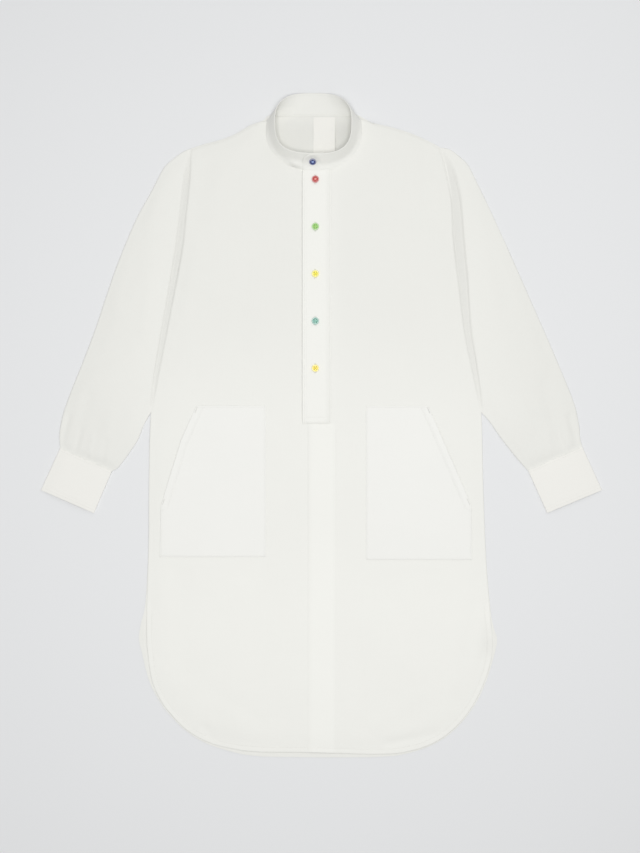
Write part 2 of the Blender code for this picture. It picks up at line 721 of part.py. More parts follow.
def make_collar(home, finish):
    middle, shares = collar_grid()
    round_it = np.gradient(middle, axis=1)
    up = np.gradient(middle, axis=0)
    out = np.cross(round_it, up)
    out /= np.linalg.norm(out, axis=2)[:, :, None]
    tucked = (DOUBLED + TUCK_GAP) * blended(shares, TUCK_BLEND)
    middle = middle - out * tucked[None, :, None]
    outer = (middle + out * DOUBLED / 2).reshape(-1, 3)
    inner = (middle - out * DOUBLED / 2).reshape(-1, 3)
    index = np.arange(len(outer)).reshape(middle.shape[:2])
    band = wall("collar_band", outer, inner, grid_faces(index), finish, home)
    column = int(np.argmin(abs(shares)))
    place = middle + out * DOUBLED / 2
    row = COLLAR_BUTTON_UP * (COLLAR_ROWS - 1)
    low = int(row)
    at = place[low, column] + (place[low + 1, column] - place[low, column]) * (row - low)
    return band, at, out[low, column]


def tree_of(obj):
    mesh = obj.data
    return BVHTree.FromPolygons([v.co for v in mesh.vertices], [tuple(p.vertices) for p in mesh.polygons])


def surface_under(obj):
    """A function that gives the height of an object's upper side over points of the plan."""
    tree = tree_of(obj)

    def height(x, y):
        found = tree.ray_cast(Vector((x * MM, y * MM, 1.0)), Vector((0, 0, -1)))[0]
        return found.z / MM if found else -math.inf

    return height


def laid_on(name, plan, surface, thick, finish, home):
    """A panel made from a grid of plan points, lying on a surface and clear of it between them."""
    rows, columns = plan.shape[:2]
    points = plan.reshape(-1, 2)
    on = np.array([[surface(x, y) for x, y in row] for row in plan])
    lift = np.zeros((rows, columns))
    for r in range(rows - 1):
        for c in range(columns - 1):
            corner = (slice(r, r + 2), slice(c, c + 2))
            for s in np.linspace(0, 1, 5):
                for t in np.linspace(0, 1, 5):
                    share = np.outer((1 - s, s), (1 - t, t))
                    x, y = (plan[corner] * share[:, :, None]).sum(axis=(0, 1))
                    sunk = surface(x, y) - (on[corner] * share).sum()
                    lift[corner] = np.maximum(lift[corner], sunk)
    z = (on + lift).reshape(-1) + PANEL_GAP
    index = np.arange(rows * columns).reshape(rows, columns)
    inner = np.column_stack([points, z])
    outer = np.column_stack([points, z + thick])
    return wall(name, outer, inner, grid_faces(index), finish, home)


def make_placket(surface, home, finish):
    across = np.linspace(PLACKET_FROM_X, PLACKET_TO_X, PLACKET_COLUMNS)
    loop = neck_loop(NECK_MARGIN + PLACKET_INSET)
    front = loop[loop[:, 1] < NECK_Y]
    front = front[np.argsort(front[:, 0])]
    top = np.interp(across, front[:, 0], front[:, 1])
    shares = np.linspace(0, 1, 2 * SLIT_ROWS + 1)
    plan = np.array([[(x, t + (PLACKET_END_Y - t) * s) for x, t in zip(across, top)] for s in shares])
    return laid_on("placket", plan, surface, DOUBLED, finish, home)


def make_pocket(name, corners, surface, finish, home):
    table = np.array(corners)
    depth = table[0, 0] - table[-1, 0]
    heights = list(np.linspace(table[0, 0], table[-1, 0], round(depth / POCKET_ROW) + 1))
    heights = sorted(set(heights) | set(table[:, 0]), reverse=True)
    plan = []
    for y in heights:
        near = np.interp(-y, -table[:, 0], table[:, 1])
        far = np.interp(-y, -table[:, 0], table[:, 2])
        plan.append([(x, y) for x in np.linspace(near, far, POCKET_COLUMNS)])
    return laid_on(name, np.array(plan), surface, CLOTH, finish, home)


def make_label(home, finish):
    """The label hangs from the back neck seam over the inside of the back, its far side lifted."""
    share = np.linspace(0, 1, LABEL_POINTS)
    xs = LABEL_FROM_X + (LABEL_TO_X - LABEL_FROM_X) * share
    ys = LABEL_FROM_Y + (LABEL_TO_Y - LABEL_FROM_Y) * share
    points = np.array([(x, y) for y in ys for x in xs])
    lift = LABEL_LIFT * np.outer(eased(share * LABEL_LIFT_START), share**LABEL_CURL)
    z = CLOTH + GAP + lift.reshape(-1, 1)
    index = np.arange(len(points)).reshape(LABEL_POINTS, LABEL_POINTS)
    inner = np.hstack([points, z])
    outer = np.hstack([points, z + LABEL_THICK])
    return wall("neck_label", outer, inner, grid_faces(index), finish, home)


def button_mesh(cutters):
    """A turned disc with a raised rim, pierced by four holes."""
    mesh = bpy.data.meshes.new("button_profile")
    points = [(r * BUTTON_RADIUS * MM, 0.0, z * BUTTON_THICK * MM) for r, z in BUTTON_PROFILE]
    mesh.from_pydata(points, [(i, i + 1) for i in range(len(points) - 1)], [])
    blank = bpy.data.objects.new("button_blank", mesh)
    cutters.objects.link(blank)
    turn = blank.modifiers.new("Turn", "SCREW")
    turn.steps = turn.render_steps = BUTTON_SIDES
    turn.use_merge_vertices = True
    turn.merge_threshold = 0.00001
    holes = bmesh.new()
    for side_x in (-1, 1):
        for side_y in (-1, 1):
            made = bmesh.ops.create_cone(holes, cap_ends=True, segments=8, radius1=BUTTON_HOLE * MM,
                                         radius2=BUTTON_HOLE * MM, depth=3 * BUTTON_THICK * MM)
            offset = Vector((side_x, side_y, 0)) * BUTTON_HOLE_SPACING * MM
            bmesh.ops.translate(holes, verts=made["verts"], vec=offset)
    hole_mesh = bpy.data.meshes.new("button_holes")
    holes.to_mesh(hole_mesh)
    holes.free()
    cutter = bpy.data.objects.new("button_holes", hole_mesh)
    cutter.display_type = "WIRE"
    cutter.hide_render = True
    cutters.objects.link(cutter)
    pierce = blank.modifiers.new("Holes", "BOOLEAN")
    pierce.object = cutter
    bpy.context.view_layer.update()
    pierced = bpy.data.meshes.new_from_object(blank.evaluated_get(bpy.context.evaluated_depsgraph_get()))
    bpy.data.objects.remove(blank)
    pierced.shade_smooth()
    pierced.set_sharp_from_angle(angle=math.radians(35))
    return pierced


def rested(cloth, place, normal):
    """The place moved along the normal, so that a button there just clears the cloth under all of it."""
    tree = tree_of(cloth)
    place, normal = Vector(place), Vector(normal).normalized()
    across = normal.orthogonal().normalized()
    along = normal.cross(across)
    highest = 0.0
    for angle in np.linspace(0, 2 * math.pi, BUTTON_SIDES, endpoint=False):
        for radius in (BUTTON_RADIUS, BUTTON_RADIUS / 2):
            over = place + radius * (math.cos(angle) * across + math.sin(angle) * along) + BUTTON_RADIUS * normal
            distance = tree.ray_cast(over * MM, -normal)[3]
            if distance is not None:
                highest = max(highest, BUTTON_RADIUS - distance / MM)
    return place + (highest + GAP) * normal


def make_buttons(placket, band, collar_place, collar_normal, cutters, home):
    blank = button_mesh(cutters)
    surface = surface_under(placket)
    for number, (name, colour) in enumerate(BUTTONS):
        mesh = blank.copy()
        mesh.materials.clear()
        mesh.materials.append(material(name, colour, 0.35))
        obj = bpy.data.objects.new(name, mesh)
        if number == 0:
            obj.location = rested(band, collar_place, collar_normal) * MM
            obj.rotation_mode = "QUATERNION"
            obj.rotation_quaternion = Vector((0, 0, 1)).rotation_difference(Vector(collar_normal))
        else:
            y = BUTTON_FIRST_Y - BUTTON_PITCH * (number - 1)
            obj.location = rested(placket, (BUTTON_X, y, surface(BUTTON_X, y)), (0, 0, 1)) * MM
        home.objects.link(obj)


def main():
    clear_scene()
    home = new_collection("nightshirt")
    cutters = new_collection("cutters", hidden=True)
    body_cloth = material("body_cloth", WHITE, 0.85)
    sleeve_cloth = material("sleeve_cloth", WHITE, 0.85)
    doubled_cloth = material("doubled_cloth", (0.88, 0.865, 0.83), 0.8)
    pocket_cloth = material("pocket_cloth", (0.87, 0.86, 0.83), 0.85)
    label_tape = material("label_tape", (0.86, 0.84, 0.79), 0.6)

    make_back(home, body_cloth)
    front = make_front(home, body_cloth)
    on_front = surface_under(front)
    placket = make_placket(on_front, home, doubled_cloth)
    make_sleeve("sleeve_left", True, sleeve_cloth, home)
    make_sleeve("sleeve_right", False, sleeve_cloth, home)
    make_cuff("cuff_left", CUFF_LEFT, doubled_cloth, home)
    make_cuff("cuff_right", CUFF_RIGHT, doubled_cloth, home)
    band, button_place, button_normal = make_collar(home, doubled_cloth)
    make_pocket("pocket_left", POCKET_LEFT, on_front, pocket_cloth, home)
    make_pocket("pocket_right", POCKET_RIGHT, on_front, pocket_cloth, home)
    make_label(home, label_tape)
    make_buttons(placket, band, button_place, button_normal, cutters, home)


main()
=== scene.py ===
import math

import bmesh
import bpy
import numpy as np
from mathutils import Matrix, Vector
from mathutils.bvhtree import BVHTree
from mathutils.geometry import delaunay_2d_cdt


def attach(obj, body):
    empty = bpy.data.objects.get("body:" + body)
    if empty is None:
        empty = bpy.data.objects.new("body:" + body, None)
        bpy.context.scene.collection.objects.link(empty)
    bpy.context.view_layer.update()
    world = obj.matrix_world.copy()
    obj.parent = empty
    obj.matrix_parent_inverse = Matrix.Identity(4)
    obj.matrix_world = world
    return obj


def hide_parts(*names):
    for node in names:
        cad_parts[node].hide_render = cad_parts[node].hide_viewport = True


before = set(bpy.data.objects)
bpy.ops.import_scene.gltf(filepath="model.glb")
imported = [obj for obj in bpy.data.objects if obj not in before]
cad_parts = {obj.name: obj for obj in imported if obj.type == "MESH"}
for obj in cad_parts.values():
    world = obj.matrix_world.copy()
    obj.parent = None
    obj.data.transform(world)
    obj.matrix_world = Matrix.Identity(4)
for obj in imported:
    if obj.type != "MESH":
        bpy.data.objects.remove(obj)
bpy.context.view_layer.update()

MM = 0.001

# Cloth as it shows
SHIRTING = 0.5  # one layer
BAND_CLOTH = 1.3  # collar and placket, interfaced
CUFF_CLOTH = 1.0
POCKET_CLOTH = 0.6
TAPE = 0.6
LAYER_GAP = 0.3
BACK_TOP = 0.55

# Neck seam and collar rim
NECK_X = -3.0
NECK_Y = 452.0
NECK_HALF_WIDTH = 74.4
NECK_FRONT = 59.6
NECK_BACK = 27.0
NECK_BACK_SQUARENESS = 6.0
NECK_MARGIN = 1.5
FRONT_UNDER_COLLAR = 2.0  # the front's neck edge is sewn in under the collar by this
BACK_UNDER_COLLAR = 4.0
NECK_POINT_RIGHT_Y = 470.5
NECK_POINT_LEFT_Y = 474.3
RIM_X = -4.2
RIM_Y = 465.5
RIM_HALF_WIDTH = 58.8
RIM_HALF_DEPTH = 49.0
RIM_FRONT_SQUARENESS = 3.0
RIM_BACK_SQUARENESS = 2.5
COLLAR_END = -0.044
COLLAR_UNDER_END = 1.046
COLLAR_CORNER_ALONG = 19.0  # the free end is cut round
COLLAR_CORNER_DOWN = 13.0
COLLAR_HELD = 5.5  # the button holds both ends flat this far out from its middle
COLLAR_HELD_FADE = 8.5
COLLAR_COLUMNS = 250
COLLAR_ROWS = 26
# Half section of the collar's front, flat over the seam and then steep. Columns: share of the way in
# from the seam to the rim, share of the height
COLLAR_SECTION = [(0.00, 0.00), (0.20, 0.05), (0.38, 0.14), (0.52, 0.30), (0.76, 0.65), (1.00, 1.00)]
COLLAR_OVER_PLACKET = 2.2  # the front of its seam lies on the placket
COLLAR_OFF_BACK = -0.35  # sewn to the back, so set into it a little
SHOULDER_BLEND = (0.50, 0.66)
BACK_BLEND = (0.68, 0.82)
TUCK_BLEND = (0.78, 0.93)
TUCK_GAP = 0.5
OVER_BACK = 1.2 + 0.35 + BAND_CLOTH / 2  # over the solid back and the gap above it
BAND_ROLL = 3.3  # the under end of the band bulges over its seam beside the free end
BAND_ROLL_AT = 0.93
BAND_ROLL_REACH = 0.030
# Columns: share of the way from front centre to back centre, rim height
COLLAR_HEIGHTS = [(0.00, 25.0), (0.25, 28.0), (0.50, 30.0), (0.64, 26.5), (0.76, 17.0), (0.86, 6.5),
                  (0.94, 2.0), (1.00, 0.9)]

# Shoulder seams, from the neck out. Columns: x, y
SHOULDER_LEFT = [(86.8, 468.1), (114.7, 461.9), (145.7, 452.6), (176.7, 438.7), (193.8, 429.4)]
SHOULDER_RIGHT = [(-92.0, 468.0), (-102.3, 464.2), (-112.0, 458.6), (-124.0, 451.4), (-147.0, 442.2),
                  (-173.6, 435.2), (-195.3, 427.8)]

# Body edge down the armhole and the side. Columns: x, y
ARMHOLE_AND_SIDE_LEFT = [(193.8, 429.4), (202.5, 395.0), (215.5, 325.5), (224.5, 243.0), (233.5, 162.8),
                         (246.5, 85.3), (256.0, 20.2), (259.0, -85.3), (263.0, -193.8)]
ARMHOLE_AND_SIDE_RIGHT = [(-195.3, 427.8), (-201.5, 380.0), (-209.3, 325.5), (-220.5, 243.0),
                          (-236.5, 146.0), (-250.5, 62.0), (-257.0, 0.0), (-259.0, -93.0),
                          (-259.5, -178.3)]

# Hems from the side round to near the centre. Columns: x, y
FRONT_HEM_LEFT = [(269.5, -286.8), (273.6, -333.3), (271.0, -366.0), (259.5, -402.5), (239.5, -441.0),
                  (210.5, -474.0), (176.0, -496.0), (130.2, -508.5), (83.7, -510.5)]
FRONT_HEM_RIGHT = [(-262.0, -271.3), (-262.7, -320.0), (-261.0, -352.0), (-254.5, -395.3),
                   (-240.3, -427.8), (-221.5, -452.6), (-196.5, -475.9), (-162.5, -493.5),
                   (-117.8, -504.0), (-83.7, -507.0)]
FRONT_HEM_Y = -508.0
BACK_HEM_LEFT = [(270.5, -286.8), (276.0, -316.0), (280.5, -331.0), (277.5, -352.0), (262.0, -402.0),
                 (241.5, -441.0), (212.0, -475.0), (177.5, -497.0), (130.2, -511.5), (83.7, -515.0)]
BACK_HEM_RIGHT = [(-264.0, -271.3), (-271.3, -308.0), (-274.5, -330.0), (-270.0, -352.0),
                  (-259.0, -395.3), (-243.0, -427.8), (-224.0, -452.6), (-199.0, -475.9),
                  (-165.0, -495.5), (-117.8, -509.5), (-83.7, -514.0)]
BACK_HEM_Y = -515.2
VENT_Y = -282.0  # the hems begin below the side seams

# Front panel
SLIT = 1.0
SLIT_END_Y = 12.0
FRONT_TOP = 4.6
EDGE_LOW = 1.25
NECK_RISE = 1.7
NECK_REACH = 24.0
NECK_ROWS_SHARE = 0.125
SHOULDER_FADE = 7 / 43  # share of the rows over which the shoulder's curve dies out
PLEAT_FROM_X = -14.0
PLEAT_TO_X = 32.5
PLEAT_HEIGHT = 1.0
PLEAT_FADE = 0.6
PLACKET_FROM_X = -21.0
PLACKET_TO_X = 23.3
PLACKET_MIDDLE = (PLACKET_FROM_X + PLACKET_TO_X) / 2
PLACKET_END_Y = 3.0
PLACKET_LIFT = 0.75
PLACKET_LENGTH = 394.0

# Soft creases of the front. Columns: x and y of one end, of the other, half width, height
FRONT_CREASES = [
    (176.0, 428.0, 171.0, 305.0, 13.0, -0.9), (150.0, 420.0, 148.0, 330.0, 11.0, 0.5),
    (-168.0, 415.0, -184.0, 300.0, 14.0, -0.6), (-120.0, 425.0, -150.0, 380.0, 13.0, 0.5),
    (212.0, 262.0, 150.0, 214.0, 14.0, 0.7), (-214.0, 236.0, -158.0, 205.0, 12.0, 0.55),
    (232.0, 60.0, 176.0, 88.0, 12.0, 0.5), (-238.0, 40.0, -190.0, 70.0, 12.0, -0.5),
    (-112.0, -262.0, -128.0, -470.0, 22.0, 0.7), (118.0, -255.0, 138.0, -450.0, 24.0, -0.6),
    (206.0, -232.0, 214.0, -400.0, 17.0, 0.6), (-212.0, -236.0, -205.0, -380.0, 18.0, -0.55),
    (186.0, 300.0, 199.0, 180.0, 9.0, 0.5), (-186.0, 290.0, -205.0, 170.0, 8.0, 0.45),
    (60.0, 385.0, 118.0, 330.0, 10.0, -0.3), (-66.0, 388.0, -122.0, 338.0, 10.0, -0.3),
    (108.0, 232.0, 128.0, 110.0, 16.0, -0.35), (-104.0, 250.0, -122.0, 120.0, 15.0, -0.35),
    (56.0, -60.0, 62.0, -260.0, 11.0, 0.35), (-52.0, -40.0, -58.0, -230.0, 12.0, 0.35),
    (250.0, -240.0, 236.0, -360.0, 9.0, -0.6), (160.0, -418.0, 92.0, -462.0, 13.0, 0.45),
    (270.0, -322.0, 262.0, -362.0, 9.0, -1.7), (112.0, -494.0, 182.0, -480.0, 8.0, -1.2),
    (-172.0, -468.0, -158.0, -490.0, 7.0, -0.9),
    (-160.0, -410.0, -88.0, -458.0, 12.0, -0.4), (64.0, -330.0, 70.0, -470.0, 10.0, -0.4),
]
BACK_CREASES = [
    (-150.0, 380.0, -60.0, 300.0, 16.0, 0.30), (140.0, 360.0, 70.0, 250.0, 14.0, 0.26),
    (-90.0, 120.0, -120.0, -60.0, 12.0, 0.32), (40.0, 40.0, 80.0, -150.0, 17.0, 0.28),
    (-30.0, -180.0, -50.0, -400.0, 13.0, 0.30), (150.0, -220.0, 120.0, -420.0, 15.0, 0.24),
    (-200.0, -150.0, -180.0, -330.0, 11.0, 0.28), (200.0, 120.0, 214.0, -20.0, 12.0, 0.3),
]

# Sleeves. Columns: x, y
SLEEVE_OUTER_LEFT = [(194.6, 430.0), (208.5, 426.5), (223.2, 415.5), (236.0, 402.5), (247.5, 380.0),
                     (269.7, 334.0), (293.0, 283.0), (316.2, 231.0), (339.5, 178.0), (365.8, 117.8),
                     (388.0, 65.1), (401.0, 31.0), (407.7, 0.0), (409.5, -20.2), (412.8, -33.4)]
SLEEVE_OUTER_RIGHT = [(-196.1, 428.4), (-209.0, 421.6), (-223.2, 411.0), (-236.5, 397.5),
                      (-254.2, 364.0), (-280.6, 314.7), (-307.5, 250.0), (-325.5, 198.4),
                      (-342.6, 147.3), (-361.2, 98.0), (-378.2, 55.8), (-391.5, 18.6), (-397.6, -12.4),
                      (-396.6, -35.6)]
UNDERARM_Y = 174.0
PARTING_Y = 20.0

# The channel along each armhole, a low groove between the puffed body and sleeve, where painted shade also
# darkens the white.
# Columns: y, centre outwards from the seam, half width, share of the full depth
CHANNEL_LEFT = [(429.0, 1.0, 0.5, 0.15), (405.0, 5.0, 2.5, 0.8), (387.0, 6.6, 3.6, 1.0),
                (362.0, 6.4, 5.0, 1.0), (330.0, 3.4, 6.2, 1.0), (296.0, 0.8, 7.0, 1.0),
                (233.0, 1.2, 6.4, 1.0), (180.0, 0.4, 4.8, 1.0), (131.0, -1.4, 3.8, 0.95),
                (80.0, -0.8, 2.8, 0.85), (24.0, 0.0, 1.0, 0.3)]
CHANNEL_RIGHT = [(428.0, 0.0, 0.5, 0.2), (400.0, -1.0, 2.2, 0.8), (380.0, -1.5, 3.2, 1.0),
                 (287.0, -3.8, 4.2, 1.0), (200.0, -2.0, 3.6, 1.0), (147.0, -1.2, 3.2, 0.95),
                 (80.0, -0.5, 2.4, 0.85), (24.0, 0.0, 1.0, 0.3)]
CHANNEL_WALL = 3.0
SLEEVE_UNDER_LEFT = [(269.0, 5.0), (285.2, -18.6), (306.9, -46.5), (323.0, -65.0), (328.3, -70.4)]
SLEEVE_UNDER_RIGHT = [(-266.5, 0.0), (-276.0, -23.3), (-292.5, -48.1), (-306.5, -66.0), (-316.0, -71.4)]
SLEEVE_LEAN = 1.15
SLEEVE_FADE = 7 / 18
SLEEVE_TOP = 5.6
SLEEVE_SECTIONS = 130
SLEEVE_UNDER_FRONT = 0.8  # sewn in under the front's edge by this
SLEEVE_INTO_CUFF = 3.0

# Soft creases of the sleeves. Columns as for the front
SLEEVE_CREASES_LEFT = [
    (262.0, 330.0, 300.0, 190.0, 13.0, -0.8), (290.0, 120.0, 352.0, 88.0, 12.0, 0.7),
    (352.0, 60.0, 378.0, -28.0, 9.0, -0.9), (322.0, 30.0, 340.0, -40.0, 10.0, 0.6),
    (238.0, 392.0, 262.0, 330.0, 9.0, 0.5), (262.0, 250.0, 276.0, 150.0, 10.0, 0.5),
    (330.0, 170.0, 352.0, 120.0, 9.0, -0.4), (286.0, 62.0, 330.0, 30.0, 9.0, -0.5),
    (393.0, 12.0, 406.0, -30.0, 5.5, -1.9), (336.0, -20.0, 344.0, -66.0, 4.5, -0.7),
    (352.0, 142.0, 371.0, 12.0, 12.0, -0.7), (374.0, 140.0, 388.0, 60.0, 9.0, 0.6),
    (358.0, -12.0, 366.0, -56.0, 4.0, 0.6), (376.0, -8.0, 386.0, -48.0, 4.5, -0.6),
]
SLEEVE_CREASES_RIGHT = [
    (-262.0, 330.0, -296.0, 200.0, 13.0, -0.7), (-282.0, 110.0, -338.0, 76.0, 12.0, 0.7),
    (-352.0, 45.0, -374.0, -26.0, 9.0, -0.9), (-316.0, 20.0, -330.0, -46.0, 10.0, 0.6),
    (-238.0, 380.0, -262.0, 310.0, 9.0, 0.5), (-256.0, 230.0, -268.0, 140.0, 9.0, 0.5),
    (-318.0, 170.0, -340.0, 118.0, 9.0, -0.4), (-282.0, 50.0, -318.0, 22.0, 9.0, -0.5),
    (-384.0, 12.0, -394.0, -30.0, 5.5, -1.9), (-326.0, -24.0, -332.0, -68.0, 4.5, -0.7),
    (-376.0, 24.0, -382.0, -20.0, 8.0, -0.6),
    (-346.0, -16.0, -352.0, -58.0, 4.0, 0.6), (-364.0, -8.0, -372.0, -48.0, 4.5, -0.6),
]

# Cuffs. Columns: outer x, outer y, inner x, inner y
CUFF_LEFT = [(413.0, -34.0, 328.5, -71.0), (443.3, -100.8, 358.0, -136.4)]
CUFF_RIGHT = [(-396.9, -36.2, -316.3, -72.0), (-426.3, -100.8, -344.0, -136.6)]
CUFF_TOP = 4.9
CUFF_LOW = 2.3

# Pockets, rows from the top down. Columns: y, x of the edge near the centre, x of the side edge
POCKET_LEFT = [(29.5, 77.5, 173.6), (-124.0, 77.5, 240.3), (-208.5, 77.5, 241.8)]
POCKET_RIGHT = [(30.0, -77.5, -185.0), (-24.0, -77.5, -209.0), (-124.0, -77.5, -240.0),
                (-204.0, -77.5, -242.0)]
POCKET_LIFT = 0.35
POCKET_OPENING_END_Y = -124.5

# Label
LABEL_FROM_X = -3.9
LABEL_TO_X = 29.5
LABEL_FROM_Y = 477.0
LABEL_TO_Y = 420.5

# Sewing
HEM_WIDTH = 9.0
HEM_STITCH_IN = 8.0
NO_HEM = 1000.0  # stands for the distance to a turned edge where there is none
STITCH = 2.3
STITCH_LIFT = 0.06  # of a stitch's middle over the cloth
STITCH_PITCH = 3.1
STITCH_WIDTH = 0.5
BUTTONHOLE = 15.0
COLLAR_BUTTON_UP = 0.46
COLLAR_STITCH_UPS = (0.08, 0.9)
COLLAR_STITCHED = (0.004, 1.085)  # shares of the way round, from the free end
CUFF_STITCH_SHARES = (0.04, 0.93)
THREAD_SPACING = 0.00045  # of the weave, in metres
TAPE_SPACING = 0.0009
BUTTON_HOLE_SPACING = 1.6
BUTTON_THICK = 2.4

# Colours as they show, from 0 to 255
CLOTH_WHITE = (240, 240, 235)
DOUBLED_WHITE = (243, 243, 238)
POCKET_WHITE = (242, 242, 238)
LABEL_WHITE = (240, 239, 234)
CUFF_WHITE = (241, 240, 235)
COLLAR_WHITE = (240, 240, 235)
FLOOR_GREY = (232, 233, 234)
LAYERS_AND_PAINTED_LIGHT_DIMS = 0.11  # share of the white that is lost where cloth lies single, and where shade is painted on it
# painted shade over the chest, fading out below it
CHEST_PAINTED_SHADE = 0.3
# painted shade over the sleeves
SLEEVE_PAINTED_SHADE = 0.2
SLEEVE_OUTER_PAINTED_SHADE = 0.22  # more painted shade, away from the armhole
SLEEVE_OUTER_REACH = 95.0
BACK_SINGLE = 0.25
# the back's single layer and painted shade, inside the neck opening
NECK_SINGLE_AND_SHADE = 0.95
# painted shade on the collar's band towards the back
BAND_BACK_PAINTED_SHADE = 0.3
TAIL_PAINTED_LIGHT = 0.2  # painted light: a share of the same given back, more of it towards the hem
PLEAT_DOUBLE = 0.26
# Columns: node, moulding, thread
BUTTONS = [
    ("button_1_blue", (56, 70, 132), (172, 192, 240)),
    ("button_2_red", (196, 40, 36), (255, 168, 160)),
    ("button_3_green", (148, 208, 98), (178, 230, 124)),
    ("button_4_yellow", (246, 234, 72), (250, 242, 66)),
    ("button_5_teal", (98, 170, 152), (160, 218, 200)),
    ("button_6_yellow", (247, 228, 62), (248, 224, 62)),
]
BUTTON_RIM = (0.0042, 0.0054)  # from here to here, in metres, a painted highlight pales a button's colour towards its rim
# the painted highlight at a button's rim: how far it pales the colour, and the white it pales to
BUTTON_RIM_HIGHLIGHT = 0.34
BUTTON_HIGHLIGHT_WHITE = (0.9, 0.9, 0.9, 1.0)
THREAD_WHITE = (238, 238, 233)

# Studio, in metres. Lights in columns: name, place, width, power in watts
LIGHTS = [("window", (1.2, 1.9, 1.9), 1.6, 8.0), ("overhead", (0.0, 0.0, 2.4), 1.1, 33.0)]
SKY_STRENGTH = 0.40
FLOOR_HALF_WIDTH = 6.0
FLOOR_TOP = -0.0004
CAMERA_PLACE = (0.0062, -0.0023, 2.5)
CAMERA_LENS = 90.7
CAMERA_SENSOR = 36.0


def linear(colour):
    """A colour from 0 to 255 as the shader wants it."""
    share = np.array(colour) / 255
    return (*np.where(share <= 0.04045, share / 12.92, ((share + 0.055) / 1.055) ** 2.4), 1.0)


# Lines and heights

def resampled(points, shares):
    points = np.asarray(points, float)
    steps = np.linalg.norm(np.diff(points, axis=0), axis=1)
    along = np.concatenate([[0.0], np.cumsum(steps)])
    at = np.asarray(shares) * along[-1]
    return np.stack([np.interp(at, along, column) for column in points.T], axis=1)


def length_of(line):
    return np.linalg.norm(np.diff(line, axis=0), axis=1).sum()


def smooth(points):
    """A fine polyline on the smooth curve through these points."""
    points = np.asarray(points, float)
    padded = np.vstack([2 * points[0] - points[1], points, 2 * points[-1] - points[-2]])
    fine = []
    for a, b, c, d in zip(padded, padded[1:], padded[2:], padded[3:]):
        for t in np.linspace(0, 1, 16, endpoint=False):
            bend = (c - a) * t + (2 * a - 5 * b + 4 * c - d) * t**2 + (3 * b - a - 3 * c + d) * t**3
            fine.append(b + bend / 2)
    return np.array(fine + [points[-1]])


def eased(share):
    share = np.clip(share, 0, 1)
    return share * share * (3 - 2 * share)


def blended(share, between):
    start, end = between
    return eased((share - start) / (end - start))


def neck_loop(grow=0.0):
    """The neck seam as a closed line, from the front centre round by the wearer's left."""
    points = []
    for angle in np.linspace(0, 2 * math.pi, 721):
        across, along = math.sin(angle), math.cos(angle)
        power = 1.0 if along > 0 else 2 / NECK_BACK_SQUARENESS
        depth = (NECK_FRONT if along > 0 else NECK_BACK) + grow
        x = NECK_X + (NECK_HALF_WIDTH + grow) * math.copysign(abs(across) ** power, across)
        y = NECK_Y - depth * math.copysign(abs(along) ** power, along)
        points.append((x, y))
    return np.array(points)


def rim_loop():
    """The collar's upper edge as a closed line, squarer towards its corners than an oval."""
    angle = np.linspace(0, 2 * math.pi, 721)
    across, along = np.sin(angle), np.cos(angle)
    power = 2 / np.where(along > 0, RIM_FRONT_SQUARENESS, RIM_BACK_SQUARENESS)
    return np.stack([RIM_X + RIM_HALF_WIDTH * np.sign(across) * abs(across) ** power,
                     RIM_Y - RIM_HALF_DEPTH * np.sign(along) * abs(along) ** power], axis=1)


def neck_share(height, wearers_left):
    """The share of the neck seam at which it reaches this y on that side."""
    loop = neck_loop()
    half = loop[: len(loop) // 2 + 1]
    steps = np.linalg.norm(np.diff(loop, axis=0), axis=1)
    along = np.concatenate([[0.0], np.cumsum(steps)]) / steps.sum()
    share = np.interp(height, half[:, 1], along[: len(half)])
    return share if wearers_left else 1 - share


def neck_edge(start, end, count, grow=NECK_MARGIN):
    return resampled(neck_loop(grow), np.linspace(start, end, count) % 1.0)


def side_edge(armhole, hem):
    return smooth(armhole + hem)


def sideways(line):
    """The direction across a line at each of its points."""
    ahead = np.gradient(line, axis=0)
    across = np.stack([-ahead[:, 1], ahead[:, 0]], axis=1)
    return across / np.linalg.norm(across, axis=1)[:, None]


def beyond(edge, gap, side):
    """A body edge moved out by a gap, to the side given by the sign of x."""
    across = sideways(edge)
    return edge + gap * across * np.sign(across[:, :1]) * side


def inset(line, gap, towards):
    """A line moved by a gap to the side that a point lies on."""
    across = sideways(line)
    facing = np.sign(((np.array(towards) - line) * across).sum(axis=1))
    return line + gap * across * facing[:, None]


def distance_to(line, x, y):
    """How far each point is from a polyline."""
    points = np.stack([np.ravel(x), np.ravel(y)], axis=1).astype(float)
    best = np.full(len(points), np.inf)
    for a, b in zip(line, line[1:]):
        run = b - a
        share = np.clip((points - a) @ run / max(run @ run, 1e-9), 0, 1)
        apart = points - a - share[:, None] * run
        best = np.minimum(best, (apart * apart).sum(axis=1))
    return np.sqrt(best).reshape(np.shape(x))


def creases(table, x, y):
    """Soft troughs and ridges that thin out towards their ends."""
    height = np.zeros(np.shape(x))
    for x0, y0, x1, y1, half_width, depth in table:
        line = np.array([(x0, y0), (x1, y1)], float)
        height = height + depth * np.exp(-((distance_to(line, x, y) / half_width) ** 2))
    return height


def ripple(x, y, seed, size):
    """Uneven waves of about this size, between -1 and 1, the same on each run."""
    rng = np.random.default_rng(seed)
    total = np.zeros(np.shape(x))
    for _ in range(7):
        angle = rng.uniform(0, 2 * math.pi)
        wave = 2 * math.pi / (size * rng.uniform(0.7, 1.7))
        total = total + np.sin(wave * (x * math.cos(angle) + y * math.sin(angle)) + rng.uniform(0, 6.3))
    return total / 5.0


def rise(distance, reach):
    """The soft rise of cloth away from a seam that holds it down."""
    return 1 - np.exp(-((distance / reach) ** 2))


def fold(distance, radius, reach):
    """The profile of cloth away from a folded edge: round at once, then a slow swell."""
    near = np.clip(distance / radius, 0, 1)
    return 0.36 * np.sqrt(1 - (1 - near) ** 2) + 0.64 * rise(distance, reach)


